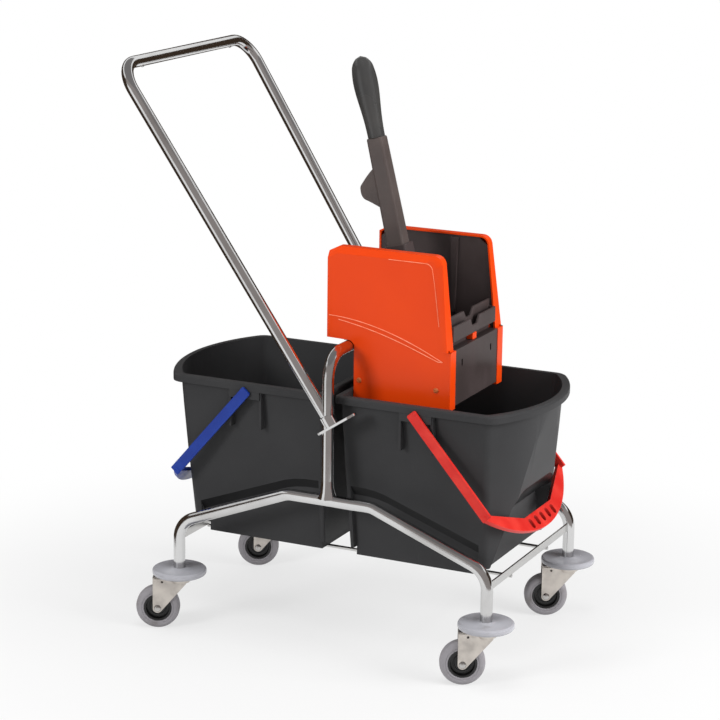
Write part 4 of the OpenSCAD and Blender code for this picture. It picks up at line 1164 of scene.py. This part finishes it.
bm = bmesh.new()
levels = []
for z, half_x, half_y in ARM:
    x, y = half_x - ARM_ROUND, half_y - ARM_ROUND
    verts = trace(bm, (x, -half_y), [
        (x, -y, 90, 6), (half_x, y), (x, y, 90, 6),
        (-x, half_y), (-x, y, 90, 6), (-half_x, -y), (-x, -y, 90, 6)])
    bmesh.ops.translate(bm, verts=verts, vec=(0, 0, z))
    levels.append(loop_edges(bm, verts))
for low, high in zip(levels, levels[1:]):
    bmesh.ops.bridge_loops(bm, edges=low + high)
bmesh.ops.edgeloop_fill(bm, edges=levels[0])
bmesh.ops.edgeloop_fill(bm, edges=levels[-1])
known = set(bm.faces)
hook = trace(bm, HOOK[0], HOOK[1:])
bm.faces.new(hook)
bmesh.ops.bevel(
    bm, geom=hook[1:-1], offset=HOOK_ROUND, offset_type="OFFSET", affect="VERTICES", segments=5,
    profile=0.5, material=-1)
thicken(bm, known, -HOOK_HALF, HOOK_HALF, STAND_XZ)
turn_profile(bm, TANG, Matrix())
bmesh.ops.transform(bm, matrix=LEVER, verts=bm.verts)
arm = make_piece(bm, "lever_arm_moulding", lever_grey, bevel=0.0010, segments=3)
stand_in(arm, "lever", "lever_grey", "lever_arm")

bm = bmesh.new()
profile = [(0, ARM_END), (GRIP_FOOT_R, ARM_END)]
for i in range(GRIP_STEPS):
    t = i / GRIP_STEPS
    swell = SWELL * math.sin(math.pi * t ** SWELL_SHIFT) ** SWELL_POWER
    radius = GRIP_R * (GRIP_NECK + swell)
    if t >= DOME_FROM:
        radius *= math.sqrt(1 - ((t - DOME_FROM) / (1 - DOME_FROM)) ** 2)
    profile.append((radius, ARM_END + GRIP_LIP + (GRIP_LEN - GRIP_LIP) * t))
profile.append((0, ARM_END + GRIP_LEN))
turn_profile(bm, profile, LEVER, steps=64)
grip = make_piece(bm, "lever_grip_moulding", grip_dark)
stand_in(grip, "lever", "grip_dark", "lever_grip")


# --- Floor, light and camera --------------------------
# A pale studio floor that keeps a soft shadow and runs out into the white. Soft boxes stand
# at the front left, at the right and above. None shows in a reflection; polished faces see
# a plain surround instead.

FLOOR_HALF = 6.0
SHADOW_R = (0.40, 1.1)
SHADOW_GLOW = 0.66
AIM = Vector((-0.025, 0, 0.47))
AMBIENT = 0.42
WHITE = (1, 1, 1, 1)
FAR = (0.050, 0.034, 0.024, 1.0)
RIGHT = (0.33, 0.30, 0.29, 1.0)
ABOVE = (0.22, 0.21, 0.21, 1.0)
SWEEP = [(4.6, 0.003), (5.0, 0.4)]
EYE = (1.70623, -3.62996, 1.49456)
YAW, PITCH, ROLL = math.radians(25.62), math.radians(14.37), math.radians(0.7)
SENSOR, FOCAL = 36.0, 122.2


def white_rays(shade):
    """1 for rays that show the background: straight to the camera, off metal or through glass."""
    camera, glossy, glass = (
        shade.node("ShaderNodeLightPath", out=f"Is {kind} Ray")
        for kind in ("Camera", "Glossy", "Transmission"))
    return camera.maths("MAXIMUM", camera, glossy.maths("MAXIMUM", glossy, glass))


pale, place = start_material("studio_floor")
tree = pale.node_tree
away = place.node("ShaderNodeVectorMath", {"operation": "LENGTH"}, {0: place}, out="Value")
dress(pale, {"Base Color": (0.70, 0.70, 0.70, 1.0), "Roughness": 0.9})
plain = Shade(tree, tree.nodes["Principled BSDF"].outputs[0])
glow = place.node("ShaderNodeEmission", None, {"Color": WHITE})
share = (SHADOW_GLOW + away.span(*SHADOW_R) * (1.0 - SHADOW_GLOW)) * white_rays(place)
mixed = place.node("ShaderNodeMixShader", None, {0: share, 1: plain, 2: glow})
tree.links.new(mixed.socket, tree.nodes["Material Output"].inputs["Surface"])
bm = bmesh.new()
bmesh.ops.create_grid(bm, x_segments=1, y_segments=1, size=FLOOR_HALF)
floor_piece = make_piece(bm, "studio_floor", pale)

world = bpy.data.worlds.new("studio")
world.use_nodes = True
bpy.context.scene.world = world
tree = world.node_tree
sky = tree.nodes["Background"]
sky.inputs["Color"].default_value = WHITE
strength = AMBIENT + white_rays(Shade(tree)) * (1.0 - AMBIENT)
tree.links.new(strength.socket, sky.inputs["Strength"])


def add_lamp(name, at, size, watts):
    """A square soft box that faces the trolley."""
    lamp = bpy.data.lights.new(name, "AREA")
    lamp.size = size
    lamp.energy = watts
    item = bpy.data.objects.new(name, lamp)
    facing = (AIM - Vector(at)).to_track_quat("-Z", "Y").to_matrix().to_4x4()
    item.matrix_world = Matrix.Translation(at) @ facing
    item.visible_glossy = False
    bpy.context.scene.collection.objects.link(item)


add_lamp("key", (-1.6, -3.0, 1.6), size=0.9, watts=60.0)
add_lamp("side", (2.7, 0.1, 1.3), size=1.6, watts=86.0)
add_lamp("top", (0.0, -0.6, 3.0), size=1.6, watts=30.0)

for name, glow, start, turn, profile in (
        ("surround_back", FAR, 10, 100, [(2.2, 0.003), *SWEEP, (5.0, 3.2)]),
        ("surround_left", FAR, 110, 118, [(0.8, 0.003), *SWEEP, (5.0, 3.2)]),
        ("surround_right", RIGHT, -100, 110, [(1.0, 0.003), *SWEEP, (5.0, 5.0)]),
        ("surround_front", RIGHT, 225, 36, [(5.0, 1.8), (5.0, 5.0)]),
        ("surround_above", ABOVE, 0, 360, [(0, 5.4), (5.0, 5.0)])):
    looks = start_material(name)[0]
    dress(looks, {
        "Base Color": (0, 0, 0, 1),
        "Specular IOR Level": 0.0,
        "Emission Color": glow,
        "Emission Strength": 1.0,
    })
    bm = bmesh.new()
    at = Matrix.Rotation(math.radians(start), 4, "Z")
    verts = [bm.verts.new(at @ Vector((radius, 0, height))) for radius, height in profile]
    edges = [bm.edges.new(pair) for pair in zip(verts, verts[1:])]
    bmesh.ops.spin(
        bm, geom=verts + edges, cent=(0, 0, 0), axis=(0, 0, 1), angle=math.radians(turn),
        steps=round(turn / 4), use_merge=turn == 360)
    bmesh.ops.remove_doubles(bm, verts=bm.verts, dist=TINY)
    card = make_piece(bm, name, looks)
    card.visible_camera = False
    card.visible_diffuse = False
    card.visible_shadow = False

right = Vector((math.cos(YAW), math.sin(YAW), 0))
ahead = Vector((
    -math.sin(YAW) * math.cos(PITCH), math.cos(YAW) * math.cos(PITCH), -math.sin(PITCH)))
up = right.cross(ahead)
lens = bpy.data.cameras.new("photo")
lens.sensor_width = SENSOR
lens.lens = FOCAL
camera = bpy.data.objects.new("photo", lens)
axes = Matrix((
    right * math.cos(ROLL) + up * math.sin(ROLL),
    up * math.cos(ROLL) - right * math.sin(ROLL),
    -ahead))
camera.matrix_world = Matrix.Translation(EYE) @ axes.transposed().to_4x4()
bpy.context.scene.collection.objects.link(camera)
bpy.context.scene.camera = camera
bpy.context.scene.view_settings.view_transform = "Standard"
